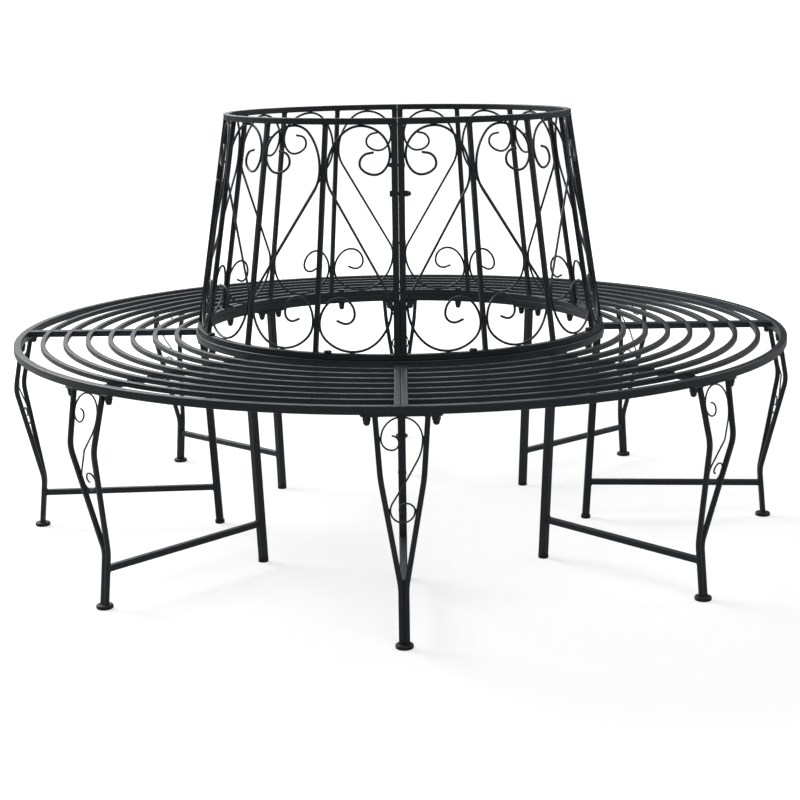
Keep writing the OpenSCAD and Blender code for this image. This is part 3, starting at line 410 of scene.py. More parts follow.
def back_path(curl_face):
    """The backrest scroll's path, and the places and sides where it is welded."""
    high, curl_at = SCROLL_ROOF - UPPER_TOUCH_DROP, SCROLL_ROOF - UPPER_CURL_TOUCH_DROP
    upper, roof = (beside(high, POST_W / 2), high), (0, SCROLL_ROOF)
    side = (-beside(curl_at, curl_face), curl_at)
    low = (side[0] + UPPER_CURL_W / 2, SCROLL_ROOF - UPPER_CURL_LOW_DROP)
    inner = (side[0] + UPPER_CURL_W, low[1] + UPPER_CURL_RISE)
    lower = (-beside(LOWER_TOUCH, curl_face), LOWER_TOUCH)
    loop_side = (beside(LOWER_CURL_TOUCH, POST_W / 2), LOWER_CURL_TOUCH)
    floor = ((lower[0] + loop_side[0]) / 2 + FLOOR_SHIFT, SCROLL_FLOOR)
    crown = (loop_side[0] - LOWER_CURL_W * CROWN_SHARE, LOWER_CURL_HIGH)
    loop_inner = (loop_side[0] - LOWER_CURL_W, LOWER_CURL_HIGH - LOWER_CURL_H * INNER_SHARE)
    loop_low = (loop_inner[0] + CURL_END_R * LOW_SHARE, LOWER_CURL_HIGH - LOWER_CURL_H)
    slant, length = link(upper, lower, UPPER_SWEEP_R, LOWER_SWEEP_R)
    end_place = np.array([inner[0] - CURL_END_R, inner[1]]) + CURL_END_R * to_dir(UPPER_END_TURN)
    end = np.array([*end_place, UPPER_END_TURN - math.pi / 2])
    path = rod_on(end, -CURL_STUB) + [end] + arc_on(end, CURL_END_R, -UPPER_END_TURN, steps=16)
    path += turn_on(at(inner, -90), low, -1) + turn_on(at(low, -180), side, -1)
    path += turn_on(at(side, 90), roof, -1, steps=12) + turn_on(at(roof, 0), upper, -1, steps=12)
    path += arc_on(at(upper, -90), UPPER_SWEEP_R, -slant)
    path += rod_on(path[-1], length)
    path += arc_on(path[-1], LOWER_SWEEP_R, slant)
    path += turn_on(at(lower, -90), floor, 1, steps=12)
    path += turn_on(at(floor, 0), loop_side, 1, steps=12)
    path += turn_on(at(loop_side, 90), crown, 1, steps=10) + turn_on(at(crown, 180), loop_inner, 1)
    path += turn_on(at(loop_inner, 270), loop_low, 1)
    path += arc_on(at(loop_low, 0), CURL_END_R, LOWER_END_TURN, steps=6)
    path += rod_on(path[-1], CURL_STUB)
    return path, [(upper, 1), (side, -1), (lower, -1), (loop_side, 1), (roof, 0), (floor, 0)]


def inside_leg(t):
    """Reach from the middle, at t up the plane from the knee, to a wire on the bent tube."""
    if t > 0:
        half, tilt = KNEE_HALF + (TOP_HALF - KNEE_HALF) * t / UPPER_RUN, UPPER_TILT
    else:
        half, tilt = KNEE_HALF + (KNEE_HALF - SIDE_HALF) * t / LOWER_RUN, LOWER_TILT
    return (half - LEG_W / 2) * math.cos(tilt) - LEG_WIRE / 2 - CLEAR


def leg_path():
    """The leg scroll's path, and the places and sides where it is welded."""
    high = UPPER_RUN - LEG_TOUCH_DROP
    upper, side = (inside_leg(high), high), (-inside_leg(high), high)
    lower = (-inside_leg(-LEG_LOWER_TOUCH), -LEG_LOWER_TOUCH)
    slant, length = link(upper, lower, LEG_UPPER_SWEEP_R, LEG_LOWER_SWEEP_R)
    crown = (0, UPPER_RUN - LEG_WIRE / 2 - CLEAR)
    low = (side[0] + LEG_CURL_R, high - LEG_CURL_DROP)
    inner = (low[0] + LEG_CURL_END_R, low[1] + LEG_CURL_END_R)
    end = at((inner[0] - LEG_CURL_END_R, inner[1] + LEG_CURL_END_R), 0)
    loop_low = (0, -LEG_LOOP_LOW)
    loop_side = (inside_leg(-LEG_LOWER_TOUCH), -LEG_LOWER_TOUCH)
    loop_crown = (loop_side[0] - LEG_LOOP_R, loop_side[1] + LEG_LOOP_R)
    loop_inner = (loop_crown[0] - LEG_LOOP_INNER_R, loop_crown[1] - LEG_LOOP_INNER_R)
    loop_end = (loop_inner[0] + LEG_LOOP_END_R, loop_inner[1] - LEG_LOOP_END_R)
    path = [end] + turn_on(end, inner, -1, steps=6) + turn_on(at(inner, -90), low, -1, steps=6)
    path += turn_on(at(low, -180), side, -1, steps=6) + turn_on(at(side, 90), crown, -1, steps=9)
    path += turn_on(at(crown, 0), upper, -1, steps=9)
    path += arc_on(at(upper, -90), LEG_UPPER_SWEEP_R, -slant)
    start = path[-1]
    to_knee = start[1] / math.cos(slant)  # a point there, because the lean changes at the knee
    path += rod_on(start, to_knee) + rod_on(start, length)
    path += arc_on(path[-1], LEG_LOWER_SWEEP_R, slant)
    path += turn_on(at(lower, -90), loop_low, 1) + turn_on(at(loop_low, 0), loop_side, 1)
    path += turn_on(at(loop_side, 90), loop_crown, 1, steps=6)
    path += turn_on(at(loop_crown, 180), loop_inner, 1, steps=6)
    path += turn_on(at(loop_inner, 270), loop_end, 1, steps=6)
    return path, [(upper, 1), (side, -1), (crown, 0), (lower, -1), (loop_side, 1)]


def on_leg(p):
    return stood_up(p, KNEE_R, KNEE_H, UPPER_LEAN if p[1] > 0 else -LOWER_LEAN)


# Materials

def empty_material(name):
    """A material without nodes, its output node, and the calls that add nodes and links."""
    m = bpy.data.materials.new(name)
    m.use_nodes = True
    m.node_tree.nodes.clear()
    new = m.node_tree.nodes.new
    return m, new("ShaderNodeOutputMaterial"), new, m.node_tree.links.new


def map_range(new, join, source, from_ends, to_ends):
    node = new("ShaderNodeMapRange")
    ends = zip(("From Min", "From Max", "To Min", "To Max"), (*from_ends, *to_ends))
    for socket, value in ends:
        node.inputs[socket].default_value = value
    join(source, node.inputs["Value"])
    return node.outputs["Result"]


def node_material(name, dark, light, roughness, speck, bump):
    """A procedural finish: mottled colour, fine grain in gloss, and a pebbled surface."""
    m, out, new, join = empty_material(name)
    shader = new("ShaderNodeBsdfPrincipled")
    shader.inputs["IOR"].default_value = COAT_IOR
    join(shader.outputs["BSDF"], out.inputs["Surface"])
    place = new("ShaderNodeTexCoord")

    def noise(scale, detail, rough=0.5):
        node = new("ShaderNodeTexNoise")
        node.inputs["Scale"].default_value = scale
        node.inputs["Detail"].default_value = detail
        node.inputs["Roughness"].default_value = rough
        join(place.outputs["Object"], node.inputs["Vector"])
        return node.outputs["Fac"]

    def bumps(height, strength, distance):
        node = new("ShaderNodeBump")
        node.inputs["Strength"].default_value = strength
        node.inputs["Distance"].default_value = distance
        join(height, node.inputs["Height"])
        return node

    grain = noise(GRAIN_SCALE, 3, 0.6)
    blend = new("ShaderNodeMath")
    blend.operation = "MULTIPLY_ADD"
    join(map_range(new, join, noise(CLOUD_SCALE, 4), NOISE_RANGE, (0, 1)), blend.inputs[0])
    blend.inputs[1].default_value = CLOUD_SHARE
    join(map_range(new, join, grain, GRAIN_RANGE, (0, speck)), blend.inputs[2])
    mix = new("ShaderNodeMix")
    mix.data_type = "RGBA"
    mix.inputs[6].default_value, mix.inputs[7].default_value = (*dark, 1), (*light, 1)
    join(blend.outputs[0], mix.inputs[0])
    join(mix.outputs[2], shader.inputs["Base Color"])
    gloss = map_range(new, join, noise(GLOSS_SCALE, 3), NOISE_RANGE,
                      (roughness - GLOSS_BELOW, roughness + GLOSS_ABOVE))
    join(gloss, shader.inputs["Roughness"])
    pebble = bumps(grain, PEBBLE_STRENGTH, bump)
    ripple = bumps(noise(RIPPLE_SCALE, 2), RIPPLE_STRENGTH, bump * RIPPLE_HEIGHT)
    join(pebble.outputs["Normal"], ripple.inputs["Normal"])
    join(ripple.outputs["Normal"], shader.inputs["Normal"])
    return m


COAT = node_material("powder_coat", (0.0132, 0.0194, 0.0242), (0.0222, 0.0304, 0.0370),
                     roughness=0.42, speck=0.4, bump=0.00006)
WELD = node_material("coated_weld", (0.0123, 0.0178, 0.0220), (0.0212, 0.0288, 0.0348),
                     roughness=0.38, speck=0.4, bump=0.0001)
HARDWARE = node_material("black_hardware", (0.014, 0.015, 0.017), (0.030, 0.032, 0.034),
                         roughness=0.34, speck=0.5, bump=0.00003)
STUD = node_material("stud_steel", (0.05, 0.052, 0.055), (0.09, 0.092, 0.095),
                     roughness=0.45, speck=0.6, bump=0.00003)
PLASTIC = node_material("foot_plastic", (0.010, 0.011, 0.012), (0.020, 0.021, 0.022),
                        roughness=0.52, speck=0.3, bump=0.00008)


SHARP, WIRE_SHARP = 32, 60  # degrees between faces from which an edge stays sharp


def make(name, parts, material, nodes=(), sharp=SHARP):
    """One piece from its parts, in metres, riding on the bench and standing for its nodes."""
    mesh = bpy.data.meshes.new(name)
    verts, faces = [], []
    for v, f in parts:
        base = len(verts)
        verts.extend(v.tolist())
        faces.extend(tuple(i + base for i in face) for face in f)
    mesh.from_pydata([tuple(c * MM for c in v) for v in verts], [], faces)
    work = bmesh.new()
    work.from_mesh(mesh)
    bmesh.ops.recalc_face_normals(work, faces=work.faces)
    work.to_mesh(mesh)
    work.free()
    mesh.shade_smooth()
    mesh.set_sharp_from_angle(angle=math.radians(sharp))
    mesh.materials.append(material)
    piece = bpy.data.objects.new(name, mesh)
    bpy.context.scene.collection.objects.link(piece)
    weighted = piece.modifiers.new("weighted", "WEIGHTED_NORMAL")
    weighted.keep_sharp = True
    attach(piece, "root")
    if nodes:
        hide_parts(*nodes)


# Seat

def end_rails():
    section = rounded_square(RAIL_W, RAIL_CORNER)
    z = SEAT_H - RAIL_W / 2
    cuts = drum_cut(INNER_R), drum_cut(OUTER_FACE_R)
    return [bar((0, RAIL_OFFSET, z), Y, Z, section, *cuts),
            bar((RAIL_OFFSET, 0, z), -X, Z, section, *cuts)]


def middle_bar():
    across = np.cross(Z, unit((1, 1, 0)))
    return bar((0, 0, SEAT_H - SLAT_W - BAR_W / 2), across, Z, rounded_square(BAR_W, BAR_CORNER),
               drum_cut(INNER_R - BAR_LAP), drum_cut(OUTER_FACE_R))


def swapped(points):
    """Points mirrored from one end of a panel to the other."""
    return [(y, x, z) for x, y, z in points]


def slat_welds(r):
    """Beads under a slat at both end rails, and tacks where it crosses the middle bar."""
    half, low, high = SLAT_W / 2, SLAT_W / 2 + BEAD_OFF, SLAT_W / 2 - 2
    mid, under, face = SEAT_H - half, SEAT_H - SLAT_W - BEAD_OFF, RAIL_FACE + BEAD_OFF
    points = [(math.sqrt((r + u) ** 2 - RAIL_FACE**2), face, mid + v)
              for u, v in ((-low, high), (-low, -low), (low, -low), (low, high))]
    parts = [bead(points, MID_BEAD), bead(swapped(points), MID_BEAD)]
    for side in (-1, 1):
        a = math.pi / 4 + side * (BAR_W / 2 + RAIL_BEAD_OFF) / r
        for edge in (-half, half):
            p = ((r + edge) * math.cos(a), (r + edge) * math.sin(a), under)
            parts.append(tack(p, (math.cos(a), math.sin(a), 0), BAR_TACK_L, MID_BEAD))
    return parts


def seat_welds():
    """Welds at every slat, and at the ends of the rails and the middle bar."""
    parts = [part for r in SLAT_RADII for part in slat_welds(r)]
    y = RAIL_OFFSET + (RAIL_W / 2 + TACK_OFF)
    for r, inward in ((INNER_R, RAIL_BEAD_OFF), (OUTER_FACE_R, -RAIL_BEAD_OFF)):
        x = math.sqrt(r * r - y * y) + inward
        ends = [(x, y, SEAT_H - RAIL_W + SHORT_OF_EDGE), (x, y, SEAT_H - SHORT_OF_TOP)]
        parts += [bead(ends, THICK_BEAD), bead(swapped(ends), THICK_BEAD)]
    for side in (-1, 1):
        a = math.pi / 4 + side * (BAR_W / 2 + BEAD_OFF) / OUTER_FACE_R
        r = OUTER_FACE_R - RAIL_BEAD_OFF
        p = np.array([r * math.cos(a), r * math.sin(a), 0])
        low, high = OUTER_BOTTOM + SHORT_OF_EDGE, SEAT_H - SLAT_W - SHORT_OF_EDGE
        parts.append(bead([p + Z * low, p + Z * high], MID_BEAD))
        a = math.pi / 4 + side * BAR_TACK_ASIDE / INNER_R
        r = INNER_R + BEAD_OFF
        p = np.array([r * math.cos(a), r * math.sin(a), INNER_BOTTOM])
        parts.append(tack(p, (-math.sin(a), math.cos(a), 0), BAR_TACK_L, MID_BEAD))
    return parts


# Backrest

def post_x(z):
    return BOTTOM_R - (z - BOTTOM_MID) * math.tan(LEAN)


def post(w, corner, y=0.0):
    x_axis = np.array([math.cos(LEAN), 0, math.sin(LEAN)])
    return bar((BOTTOM_R, y, BOTTOM_MID), x_axis, Y, rounded_square(w, corner),
               plane_cut((0, 0, BOTTOM_TOP), Z), plane_cut((0, 0, TOP_BOTTOM), Z))


def post_welds(w, y=0.0):
    half = w / 2 + BEAD_OFF
    return [bead(square_loop((post_x(z), y, z + lift), X, Y, half, half), THIN_BEAD, True)
            for z, lift in ((BOTTOM_TOP, TACK_OFF), (TOP_BOTTOM, -TACK_OFF))]


def panel_posts():
    """One panel's posts, and the beads around their ends."""
    posts = [post(BACK_W, BACK_CORNER, END_OFFSET),
             about_z(post(BACK_W, BACK_CORNER, -END_OFFSET), math.pi / 2)]
    welds = post_welds(BACK_W, END_OFFSET) + turned(post_welds(BACK_W, -END_OFFSET), math.pi / 2)
    for i in range(1, BAYS):
        posts.append(about_z(post(POST_W, POST_CORNER), i * BAY))
        welds += turned(post_welds(POST_W), i * BAY)
    return posts, welds


def panel_scrolls():
    """The wires of one panel's four bays, and the welds that hold them."""
    wires, welds = [], []
    reach = BACK_WIRE / 2 + TACK_OFF
    up_post = (-math.sin(SCROLL_LEAN), 0, math.cos(SCROLL_LEAN))

    def stand(p, r=SCROLL_LOW_R):
        return stood_up(p, r, BOTTOM_MID, SCROLL_LEAN)

    for i in range(BAYS):
        flip = -1 if i % 2 else 1
        path, places = back_path(END_FACE if i in (0, BAYS - 1) else POST_W / 2)
        angle = (i + 0.5) * BAY
        points = [stand((flip * p[0], p[1])) for p in path]
        points = resampled(points, BACK_WIRE_STEP)[0]
        wires.append(about_z(wire(points, BACK_WIRE / 2), angle))
        for (x, y), side in places:
            if side:
                spot = stand((flip * (x + side * reach), y), SCROLL_LOW_R - SCROLL_WELD_IN)
                weld = tack(spot, up_post, length=11, radius=2.1)
            else:
                toward = 1 if y == SCROLL_ROOF else -1
                weld = tack(stand((flip * x, y + toward * reach)), Y, length=10, radius=1.9)
            welds.append(about_z(weld, angle))
    return wires, welds


OUTER_ARC = arc_tube(RIM_R, SEAT_H - RIM_W / 2, RIM_W, RIM_CORNER, SEAM / 2, steps=96)
INNER_ARC = arc_tube(INNER_RIM_R, INNER_TOP - RIM_W / 2, RIM_W, RIM_CORNER, SEAM / 2)
SLAT_ARCS = [arc_tube(r, SEAT_H - SLAT_W / 2, SLAT_W, SLAT_CORNER, RAIL_FACE)
             for r in SLAT_RADII]
CROSS = end_rails() + [middle_bar()]
TOP_ARC = arc_tube(TOP_R, TOP_MID, BACK_W, BACK_CORNER, SEAM / 2)
BOTTOM_ARC = arc_tube(BOTTOM_R, BOTTOM_MID, BACK_W, BACK_CORNER, SEAM / 2)
POSTS, POST_WELDS = panel_posts()
SCROLLS, SCROLL_WELDS = panel_scrolls()
SEAT_WELDS = seat_welds()

PANEL_PIECES = (  # name, parts, material, the CAD node that it stands for, sharp angle
    ("outer_rim", [OUTER_ARC], COAT, "seat_outer_rim", SHARP),
    ("inner_rim", [INNER_ARC], COAT, "seat_inner_rim", SHARP),
    ("slats", SLAT_ARCS, COAT, "seat_slats", SHARP),
    ("cross_bars", CROSS, COAT, "seat_cross_bars", SHARP),
    ("seat_welds", SEAT_WELDS, WELD, None, SHARP),
    ("top_rail", [TOP_ARC], COAT, "back_top_rail", SHARP),
    ("bottom_rail", [BOTTOM_ARC], COAT, "back_bottom_rail", SHARP),
    ("posts", POSTS, COAT, "back_posts", SHARP),
    ("scrolls", SCROLLS, COAT, "back_scrolls", WIRE_SHARP),
    ("back_welds", POST_WELDS + SCROLL_WELDS, WELD, None, SHARP),
)
for k in range(PANELS):
    n = k + 1
    for name, parts, material, node, sharp in PANEL_PIECES:
        make(f"{name}_{n}", turned(parts, k * math.pi / 2), material,
             [f"{node}_{n}"] if node else [], sharp=sharp)


# Legs

def bent_tube(side):
    """One bent tube of an outer leg, sampled along its bends, cut flat at both ends."""
    foot = np.array([OUTER_FOOT_R, side * SIDE_HALF, FOOT_H])
    ankle = np.array([ANKLE_R, side * SIDE_HALF, ANKLE_H])
    knee = np.array([KNEE_R, side * KNEE_HALF, KNEE_H])
    top = np.array([LEG_TOP_R, side * TOP_HALF, OUTER_PLATE_BOTTOM])
    ways = unit(ankle - foot), unit(knee - ankle), unit(top - knee)
    section = rounded_square(LEG_W, LEG_CORNER, steps=7)
    steps = 12

    def ring(p, way, x_axis):
        y_axis = np.cross(way, x_axis)
        return [p + u * x_axis + v * y_axis for u, v in section]

    def end_ring(p, way, x_axis):
        return [q + way * ((p[2] - q[2]) / way[2]) for q in ring(p, way, x_axis)]

    x_axis = unit(np.cross(X, ways[0]))
    rings = [end_ring(foot, ways[0], x_axis)]
    for corner, before, after in ((ankle, ways[0], ways[1]), (knee, ways[1], ways[2])):
        axis = unit(np.cross(before, after))
        angle = math.acos(before @ after)
        start = corner - before * LEG_BEND_R * math.tan(angle / 2)
        center = start + np.cross(axis, before) * LEG_BEND_R
        for i in range(steps + 1):
            part = angle * i / steps
            rings.append(ring(center + spun(start - center, axis, part), spun(before, axis, part),
                              spun(x_axis, axis, part)))
        x_axis = spun(x_axis, axis, angle)
    rings.append(end_ring(top, ways[2], x_axis))
    return loft(rings)


def inner_leg_bar():
    x_axis = np.array([math.cos(INNER_LEAN), 0, -math.sin(INNER_LEAN)])
    return bar((INNER_FOOT_R, 0, FOOT_H), x_axis, Y, rounded_square(INNER_LEG_W, INNER_LEG_CORNER),
               plane_cut((0, 0, FOOT_H), Z), plane_cut((0, 0, INNER_PLATE_BOTTOM), Z))


def stretcher_h(r):
    """Height of the stretcher's middle line at a radius."""
    f = (r - INNER_FOOT_R) / (OUTER_FOOT_R - INNER_FOOT_R)
    return STRETCHER_IN_H + (STRETCHER_OUT_H - STRETCHER_IN_H) * f


def stretcher():
    slope = math.atan((STRETCHER_IN_H - STRETCHER_OUT_H) / (OUTER_FOOT_R - INNER_FOOT_R))
    up = (math.sin(slope), 0, math.cos(slope))
    middle = (INNER_FOOT_R + OUTER_FOOT_R) / 2
    section = rounded_square(STRETCHER_W, STRETCHER_CORNER)
    return bar((middle, 0, stretcher_h(middle)), Y, up, section,
               plane_cut((INNER_FACE, 0, FOOT_H), INNER_FACE_NORMAL),
               plane_cut((OUTER_FACE, 0, FOOT_H), OUTER_FACE_NORMAL))


def plate(r, bottom, length, width, corner, bevel=0.5):
    """A flat bar along the tangent with cut corners and softened edges."""
    def ring(inset, z):
        w, h, c = width / 2 - inset, length / 2 - inset, corner
        return [(r + x, y, z) for x, y in (
            (-w, -h + c), (-w + c, -h), (w - c, -h), (w, -h + c),
            (w, h - c), (w - c, h), (-w + c, h), (-w, h - c))]
    return loft([ring(bevel, bottom), ring(0, bottom + bevel),
                 ring(0, bottom + PLATE_T - bevel), ring(bevel, bottom + PLATE_T)])


def leg_welds():
    """Beads of one leg frame: at both plates, the stretcher, the joined tubes and the scroll."""
    parts = []
    for side in (-1, 1):
        loop = square_loop((LEG_TOP_R, side * TOP_HALF, OUTER_PLATE_BOTTOM - BEAD_OFF), X, Y,
                           half_x=4.8, half_y=5.1, corner=2.6)
        parts.append(bead(loop, MID_BEAD, True))
    loop = square_loop((INNER_LEG_TOP_R, 0, INNER_PLATE_BOTTOM - BEAD_OFF), X, Y,
                       half_x=7.2, half_y=7.8)
    parts.append(bead(loop, THICK_BEAD, True))
    half = STRETCHER_W / 2 + TACK_OFF
    for face, normal, off in ((INNER_FACE, INNER_FACE_NORMAL, RAIL_BEAD_OFF),
                              (OUTER_FACE, OUTER_FACE_NORMAL, -RAIL_BEAD_OFF)):
        up = unit(np.cross(normal, Y))
        up = up * np.sign(up[2])
        p = np.array([face, 0, FOOT_H]) + up * (stretcher_h(face) - FOOT_H) / up[2] + X * off
        parts.append(bead(square_loop(p, Y, up, half, half), STRETCHER_BEAD, True))
    for depth, radius in JOINT_BEADS:
        parts.append(bead([(OUTER_FOOT_R + depth - (z - FOOT_H) * math.tan(FOOT_LEAN), 0, z)
                           for z in (FOOT_H + 1, ANKLE_H - 2)], radius))
    crotch = ANKLE_R + (KNEE_R - ANKLE_R) * (CROTCH_RISE / (KNEE_H - ANKLE_H))
    for depth in CROTCH_TACKS:
        p = (crotch + depth, 0, ANKLE_H + CROTCH_TACK_RISE)
        parts.append(tack(p, Z, length=16, radius=1.7))
    reach = LEG_WIRE / 2 + TACK_OFF
    for (x, y), side in LEG_SCROLL_PLACES:
        if side:
            p, a, b = (on_leg((x + side * reach, y + step)) for step in (0, -1, 1))
            parts.append(tack(p - X * 0.6, b - a, length=9, radius=1.8))
        else:
            parts.append(tack(on_leg((x, y + reach)), Y, length=8, radius=1.6))
    return parts


def foot(profile, r):
    v, f = lathe(profile)
    return v + X * r, f


LEG_SCROLL_PATH, LEG_SCROLL_PLACES = leg_path()
LEG_TUBES = [bent_tube(-1), bent_tube(1)]
INNER_LEG = inner_leg_bar()
LEG_SCROLL_POINTS = resampled([on_leg(p) for p in LEG_SCROLL_PATH], LEG_WIRE_STEP)[0]
LEG_SCROLL = wire(LEG_SCROLL_POINTS, LEG_WIRE / 2, sides=12)
OUTER_PLATE = plate(OUTER_PLATE_R, OUTER_PLATE_BOTTOM, OUTER_PLATE_L, OUTER_PLATE_W,
                    OUTER_PLATE_CORNER)
INNER_PLATE = plate(INNER_LEG_TOP_R, INNER_PLATE_BOTTOM, INNER_PLATE_L, INNER_PLATE_W,
                    INNER_PLATE_CORNER)
# Profiles of the feet, (radius, height): the outer one has a groove around its middle
OUTER_FOOT = foot([(0.01, 0), (13.5, 0), (14.6, 0.25), (15.4, 0.8), (15.8, 1.6), (16, 2.4),
                   (16, 4.0), (15.6, 4.3), (15.5, 4.6), (15.6, 4.9), (16, 5.2), (15.9, 6.0),
                   (15.3, 6.9), (14.4, 7.6), (13, 8), (0.01, 8)], OUTER_FOOT_R)
INNER_FOOT = foot([(0.01, 0), (9.2, 0), (9.8, 0.3), (10.2, 0.9), (10.25, 1.6), (10.25, 6.6),
                   (10.1, 7.3), (9.7, 7.8), (9, 8), (0.01, 8)], INNER_FOOT_R)

for k in range(LEGS):
    turn, n = k * 2 * math.pi / LEGS, k + 1
    make(f"outer_leg_tubes_{n}", turned(LEG_TUBES, turn), COAT, [f"outer_leg_{n}"])
    make(f"inner_leg_tube_{n}", [about_z(INNER_LEG, turn)], COAT, [f"inner_leg_{n}"])
    make(f"leg_welds_{n}", turned(leg_welds(), turn), WELD)
make("leg_scroll_wires", each_leg(LEG_SCROLL), COAT, ["leg_scrolls"], sharp=WIRE_SHARP)
make("stretcher_tubes", each_leg(stretcher()), COAT, ["stretchers"])
make("outer_plates", each_leg(OUTER_PLATE), COAT, ["outer_leg_plates"])
make("inner_plates", each_leg(INNER_PLATE), COAT, ["inner_leg_plates"])
make("outer_foot_caps", each_leg(OUTER_FOOT), PLASTIC, ["outer_feet"])
make("inner_foot_caps", each_leg(INNER_FOOT), PLASTIC, ["inner_feet"])


# Fasteners, each drawn with Z along its axis. Their edges are softened by tenths of a millimetre.

def corner_r(hex_w):
    return hex_w / 2 / math.cos(math.pi / 6)


def crown_r(hex_w):
    """Radius of the flat circle left by the chamfer on a hexagon's end."""
    return hex_w * 0.46


def cap_nut(hex_w, hex_t, h, dome_r):
    """A hexagon with chamfered corners and a round dome."""
    r = corner_r(hex_w)
    profile = [(0.01, 0), (crown_r(hex_w), 0), (r - 0.35, 0.25), (r, 0.7), (r, hex_t - 0.8),
               (r - 0.25, hex_t - 0.35), (dome_r + 0.35, hex_t), (dome_r, hex_t + 0.15)]
    profile += [(max(0.01, dome_r * math.cos(math.radians(a))),
                 h - dome_r + dome_r * math.sin(math.radians(a))) for a in range(0, 91, 10)]
    return hex_lathe(profile, hex_w)


def bolt_head(hex_w, h):
    """A hexagon head with a chamfered crown and a faint dish."""
    r, crown = corner_r(hex_w), crown_r(hex_w)
    return hex_lathe([(0.01, 0), (crown, 0), (r, 0.3), (r, h - 0.9), (r - 0.3, h - 0.4), (crown, h),
                      (crown - 0.4, h), (crown - 0.6, h - 0.15), (0.01, h - 0.15)], hex_w)


def thin_nut(hex_w, t, hole_r):
    """A hexagon nut whose hole shows the shank's end."""
    r, crown = corner_r(hex_w), crown_r(hex_w)
    return hex_lathe([(hole_r, 0), (crown, 0), (r, 0.4), (r, t - 0.4), (crown, t),
                      (hole_r + 0.4, t), (hole_r, t - 0.4)], hex_w)


def shank(length):
    """A bolt's shank from under its head, with thread turns cut near its end."""
    s = length - THREAD_L
    profile = [(SHANK_R, 0), (SHANK_R, s)]
    while s < length - 1:
        profile += [(SHANK_R, s + 0.25), (SHANK_R - THREAD_DEPTH, s + 0.5), (SHANK_R, s + 0.75)]
        s += THREAD_PITCH
    return lathe(profile + [(SHANK_R, length - 0.6), (SHANK_R - 0.6, length)], 20)


def any_way():
    """A random direction, so that no two nuts stand alike."""
    return unit((math.cos(chance.uniform(0, 6)), math.sin(chance.uniform(0, 6)), 0.0))


STUD_NUT = cap_nut(STUD_HEX, STUD_NUT_HEX_T, STUD_NUT_H, STUD_DOME_R)
SEAM_NUT = cap_nut(SEAM_HEX, SEAM_NUT_HEX_T, SEAM_NUT_H, SEAM_DOME_R)
THIN_NUT = thin_nut(SEAM_HEX, THIN_NUT_T, SHANK_R)
RING_HEAD, SEAM_HEAD = bolt_head(STUD_HEX, STUD_HEAD_T), bolt_head(SEAM_HEX, SEAM_HEAD_T)
WASHER = lathe([(WASHER_HOLE_R, 0.1), (WASHER_HOLE_R + 0.1, 0), (WASHER_R - 0.25, 0),
                (WASHER_R, 0.2), (WASHER_R, 1.2), (WASHER_R - 0.3, WASHER_T),
                (WASHER_HOLE_R + 0.1, WASHER_T), (WASHER_HOLE_R, 1.4)], 40, closed=True)

nuts, washers, bolts = [], [], []
for k in range(LEGS):
    turn = k * 2 * math.pi / LEGS
    for r, y, z in ((OUTER_STUD_R, OUTER_STUD_HALF, OUTER_PLATE_BOTTOM),
                    (INNER_STUD_R, INNER_STUD_HALF, INNER_PLATE_BOTTOM)):
        for side in (-1, 1):
            washers.append(about_z(placed(WASHER, (r, side * y, z), -Z, X), turn))
            nut = placed(STUD_NUT, (r, side * y, z - WASHER_T), -Z, any_way())
            nuts.append(about_z(nut, turn))
for k in range(PANELS):
    turn = k * math.pi / 2
    toward = 1 if k % 2 == 0 else -1
    for bay in (1, 3):
        a = turn + bay * BAY + toward * BOLT_OFF_POST
        way = any_way()
        bolts.append(about_z(placed(RING_HEAD, (RING_BOLT_R, 0, BOTTOM_TOP), Z, way), a))
        washers.append(about_z(placed(WASHER, (RING_BOLT_R, 0, INNER_BOTTOM), -Z, X), a))
        nut = placed(STUD_NUT, (RING_BOLT_R, 0, INNER_BOTTOM - WASHER_T), -Z, way)
        nuts.append(about_z(nut, a))
    for z, nut, in_nut in ((SEAM_BOLT_LOW, THIN_NUT, THIN_NUT_T),
                           (SEAM_BOLT_HIGH, SEAM_NUT, SEAM_IN_NUT)):
        start = (post_x(z), -END_FACE, z)
        bolts.append(about_z(placed(SEAM_HEAD, start, -Y, X), turn))
        bolts.append(about_z(placed(shank(2 * END_FACE + in_nut), start, Y, X), turn))
        nuts.append(about_z(placed(nut, (post_x(z), END_FACE, z), Y, X), turn))
make("cap_nut_set", nuts, HARDWARE, ["nuts"])
make("washer_set", washers, HARDWARE, ["washers"])
make("bolt_set", bolts, HARDWARE, ["back_bolts"])

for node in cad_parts.values():
    if not node.hide_render:
        node.data.materials.clear()
        node.data.materials.append(STUD)


# Floor, light and camera

def stage_material():
    """A matte grey floor that the camera sees near white, and pure white further out."""
    m, out, new, join = empty_material("studio_white")
    diffuse = new("ShaderNodeBsdfDiffuse")
    diffuse.inputs["Color"].default_value = (FLOOR_GREY, FLOOR_GREY, FLOOR_GREY, 1)
    place, length = new("ShaderNodeTexCoord"), new("ShaderNodeVectorMath")
    length.operation = "LENGTH"
    join(place.outputs["Object"], length.inputs[0])
    emit, add, mix, rays = (new(f"ShaderNode{kind}") for kind in (
        "Emission", "AddShader", "MixShader", "LightPath"))
    glow = map_range(new, join, length.outputs["Value"], GLOW_RADII, GLOW_STRENGTHS)
    join(glow, emit.inputs["Strength"])
    join(diffuse.outputs[0], add.inputs[0])
    join(emit.outputs[0], add.inputs[1])
    join(rays.outputs["Is Camera Ray"], mix.inputs[0])
    join(diffuse.outputs[0], mix.inputs[1])
    join(add.outputs[0], mix.inputs[2])
    join(mix.outputs[0], out.inputs["Surface"])
    return m


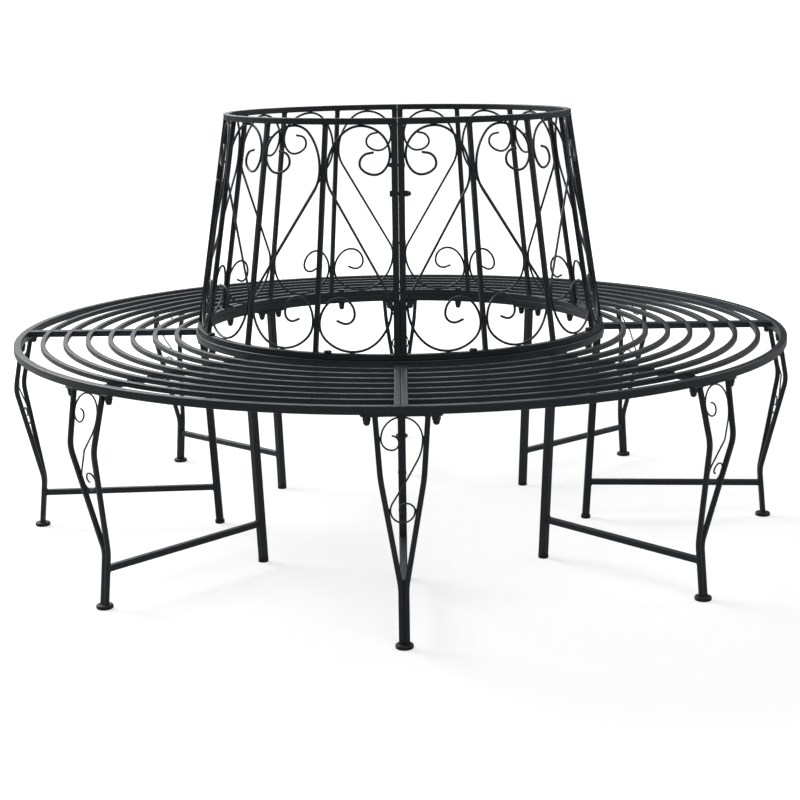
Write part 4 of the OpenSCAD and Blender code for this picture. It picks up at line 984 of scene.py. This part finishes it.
def floor_sheet():
    """A floor that runs up into a backdrop, all around, like a wide shallow bowl."""
    sides, rings = 96, [(0.001, 0.0), (2.0, 0.0), (6.0, 0.0), (FLAT_R, 0.0)]
    for degrees in range(10, 91, 10):
        a = math.radians(degrees)
        rings.append((FLAT_R + BACKDROP_R * math.sin(a), BACKDROP_R - BACKDROP_R * math.cos(a)))
    rings.append((FLAT_R + BACKDROP_R, BACKDROP_H))
    spokes = [2 * math.pi * j / sides for j in range(sides)]
    verts = [(r * math.cos(a), r * math.sin(a), z) for r, z in rings for a in spokes]
    faces = [(i * sides + j, i * sides + (j + 1) % sides, (i + 1) * sides + (j + 1) % sides,
              (i + 1) * sides + j) for i in range(len(rings) - 1) for j in range(sides)]
    mesh = bpy.data.meshes.new("studio_floor")
    mesh.from_pydata(verts, [], faces)
    mesh.shade_smooth()
    mesh.materials.append(stage_material())
    floor = bpy.data.objects.new("studio_floor", mesh)
    bpy.context.scene.collection.objects.link(floor)


def softbox(name, place, size, power):
    data = bpy.data.lights.new(name, "AREA")
    data.shape, data.size, data.size_y = "RECTANGLE", size[0], size[1]
    data.energy = power
    lamp = bpy.data.objects.new(name, data)
    lamp.location = place
    lamp.rotation_euler = (Vector(LIGHT_AIM) - Vector(place)).to_track_quat("-Z", "Y").to_euler()
    bpy.context.scene.collection.objects.link(lamp)


def studio_world():
    world = bpy.data.worlds.new("studio")
    bpy.context.scene.world = world
    world.use_nodes = True
    back = world.node_tree.nodes["Background"]
    back.inputs["Color"].default_value = (1, 1, 1, 1)
    back.inputs["Strength"].default_value = WORLD_STRENGTH


def photo_camera():
    """The camera that took the photograph: low, a little above the backrest's rim."""
    pitch, roll = math.radians(CAMERA_PITCH), math.radians(CAMERA_ROLL)
    right, ahead = Vector((1, 0, 0)), Vector((0, math.cos(pitch), -math.sin(pitch)))
    up = Vector((0, math.sin(pitch), math.cos(pitch)))
    across = right * math.cos(roll) - up * math.sin(roll)
    above = right * math.sin(roll) + up * math.cos(roll)
    data = bpy.data.cameras.new("photo_camera")
    data.sensor_width, data.lens, data.shift_x = CAMERA_SENSOR, CAMERA_LENS, CAMERA_SHIFT
    data.clip_start, data.clip_end = 0.05, 100
    cam = bpy.data.objects.new("photo_camera", data)
    m = Matrix.Identity(4)
    for i, column in enumerate((across, above, -ahead, CAMERA_PLACE)):
        for j in range(3):
            m[j][i] = column[j]
    cam.matrix_world = m
    bpy.context.scene.collection.objects.link(cam)
    bpy.context.scene.camera = cam


floor_sheet()
studio_world()
for box in SOFTBOXES:
    softbox(*box)
photo_camera()
bpy.context.scene.view_settings.view_transform = "Standard"
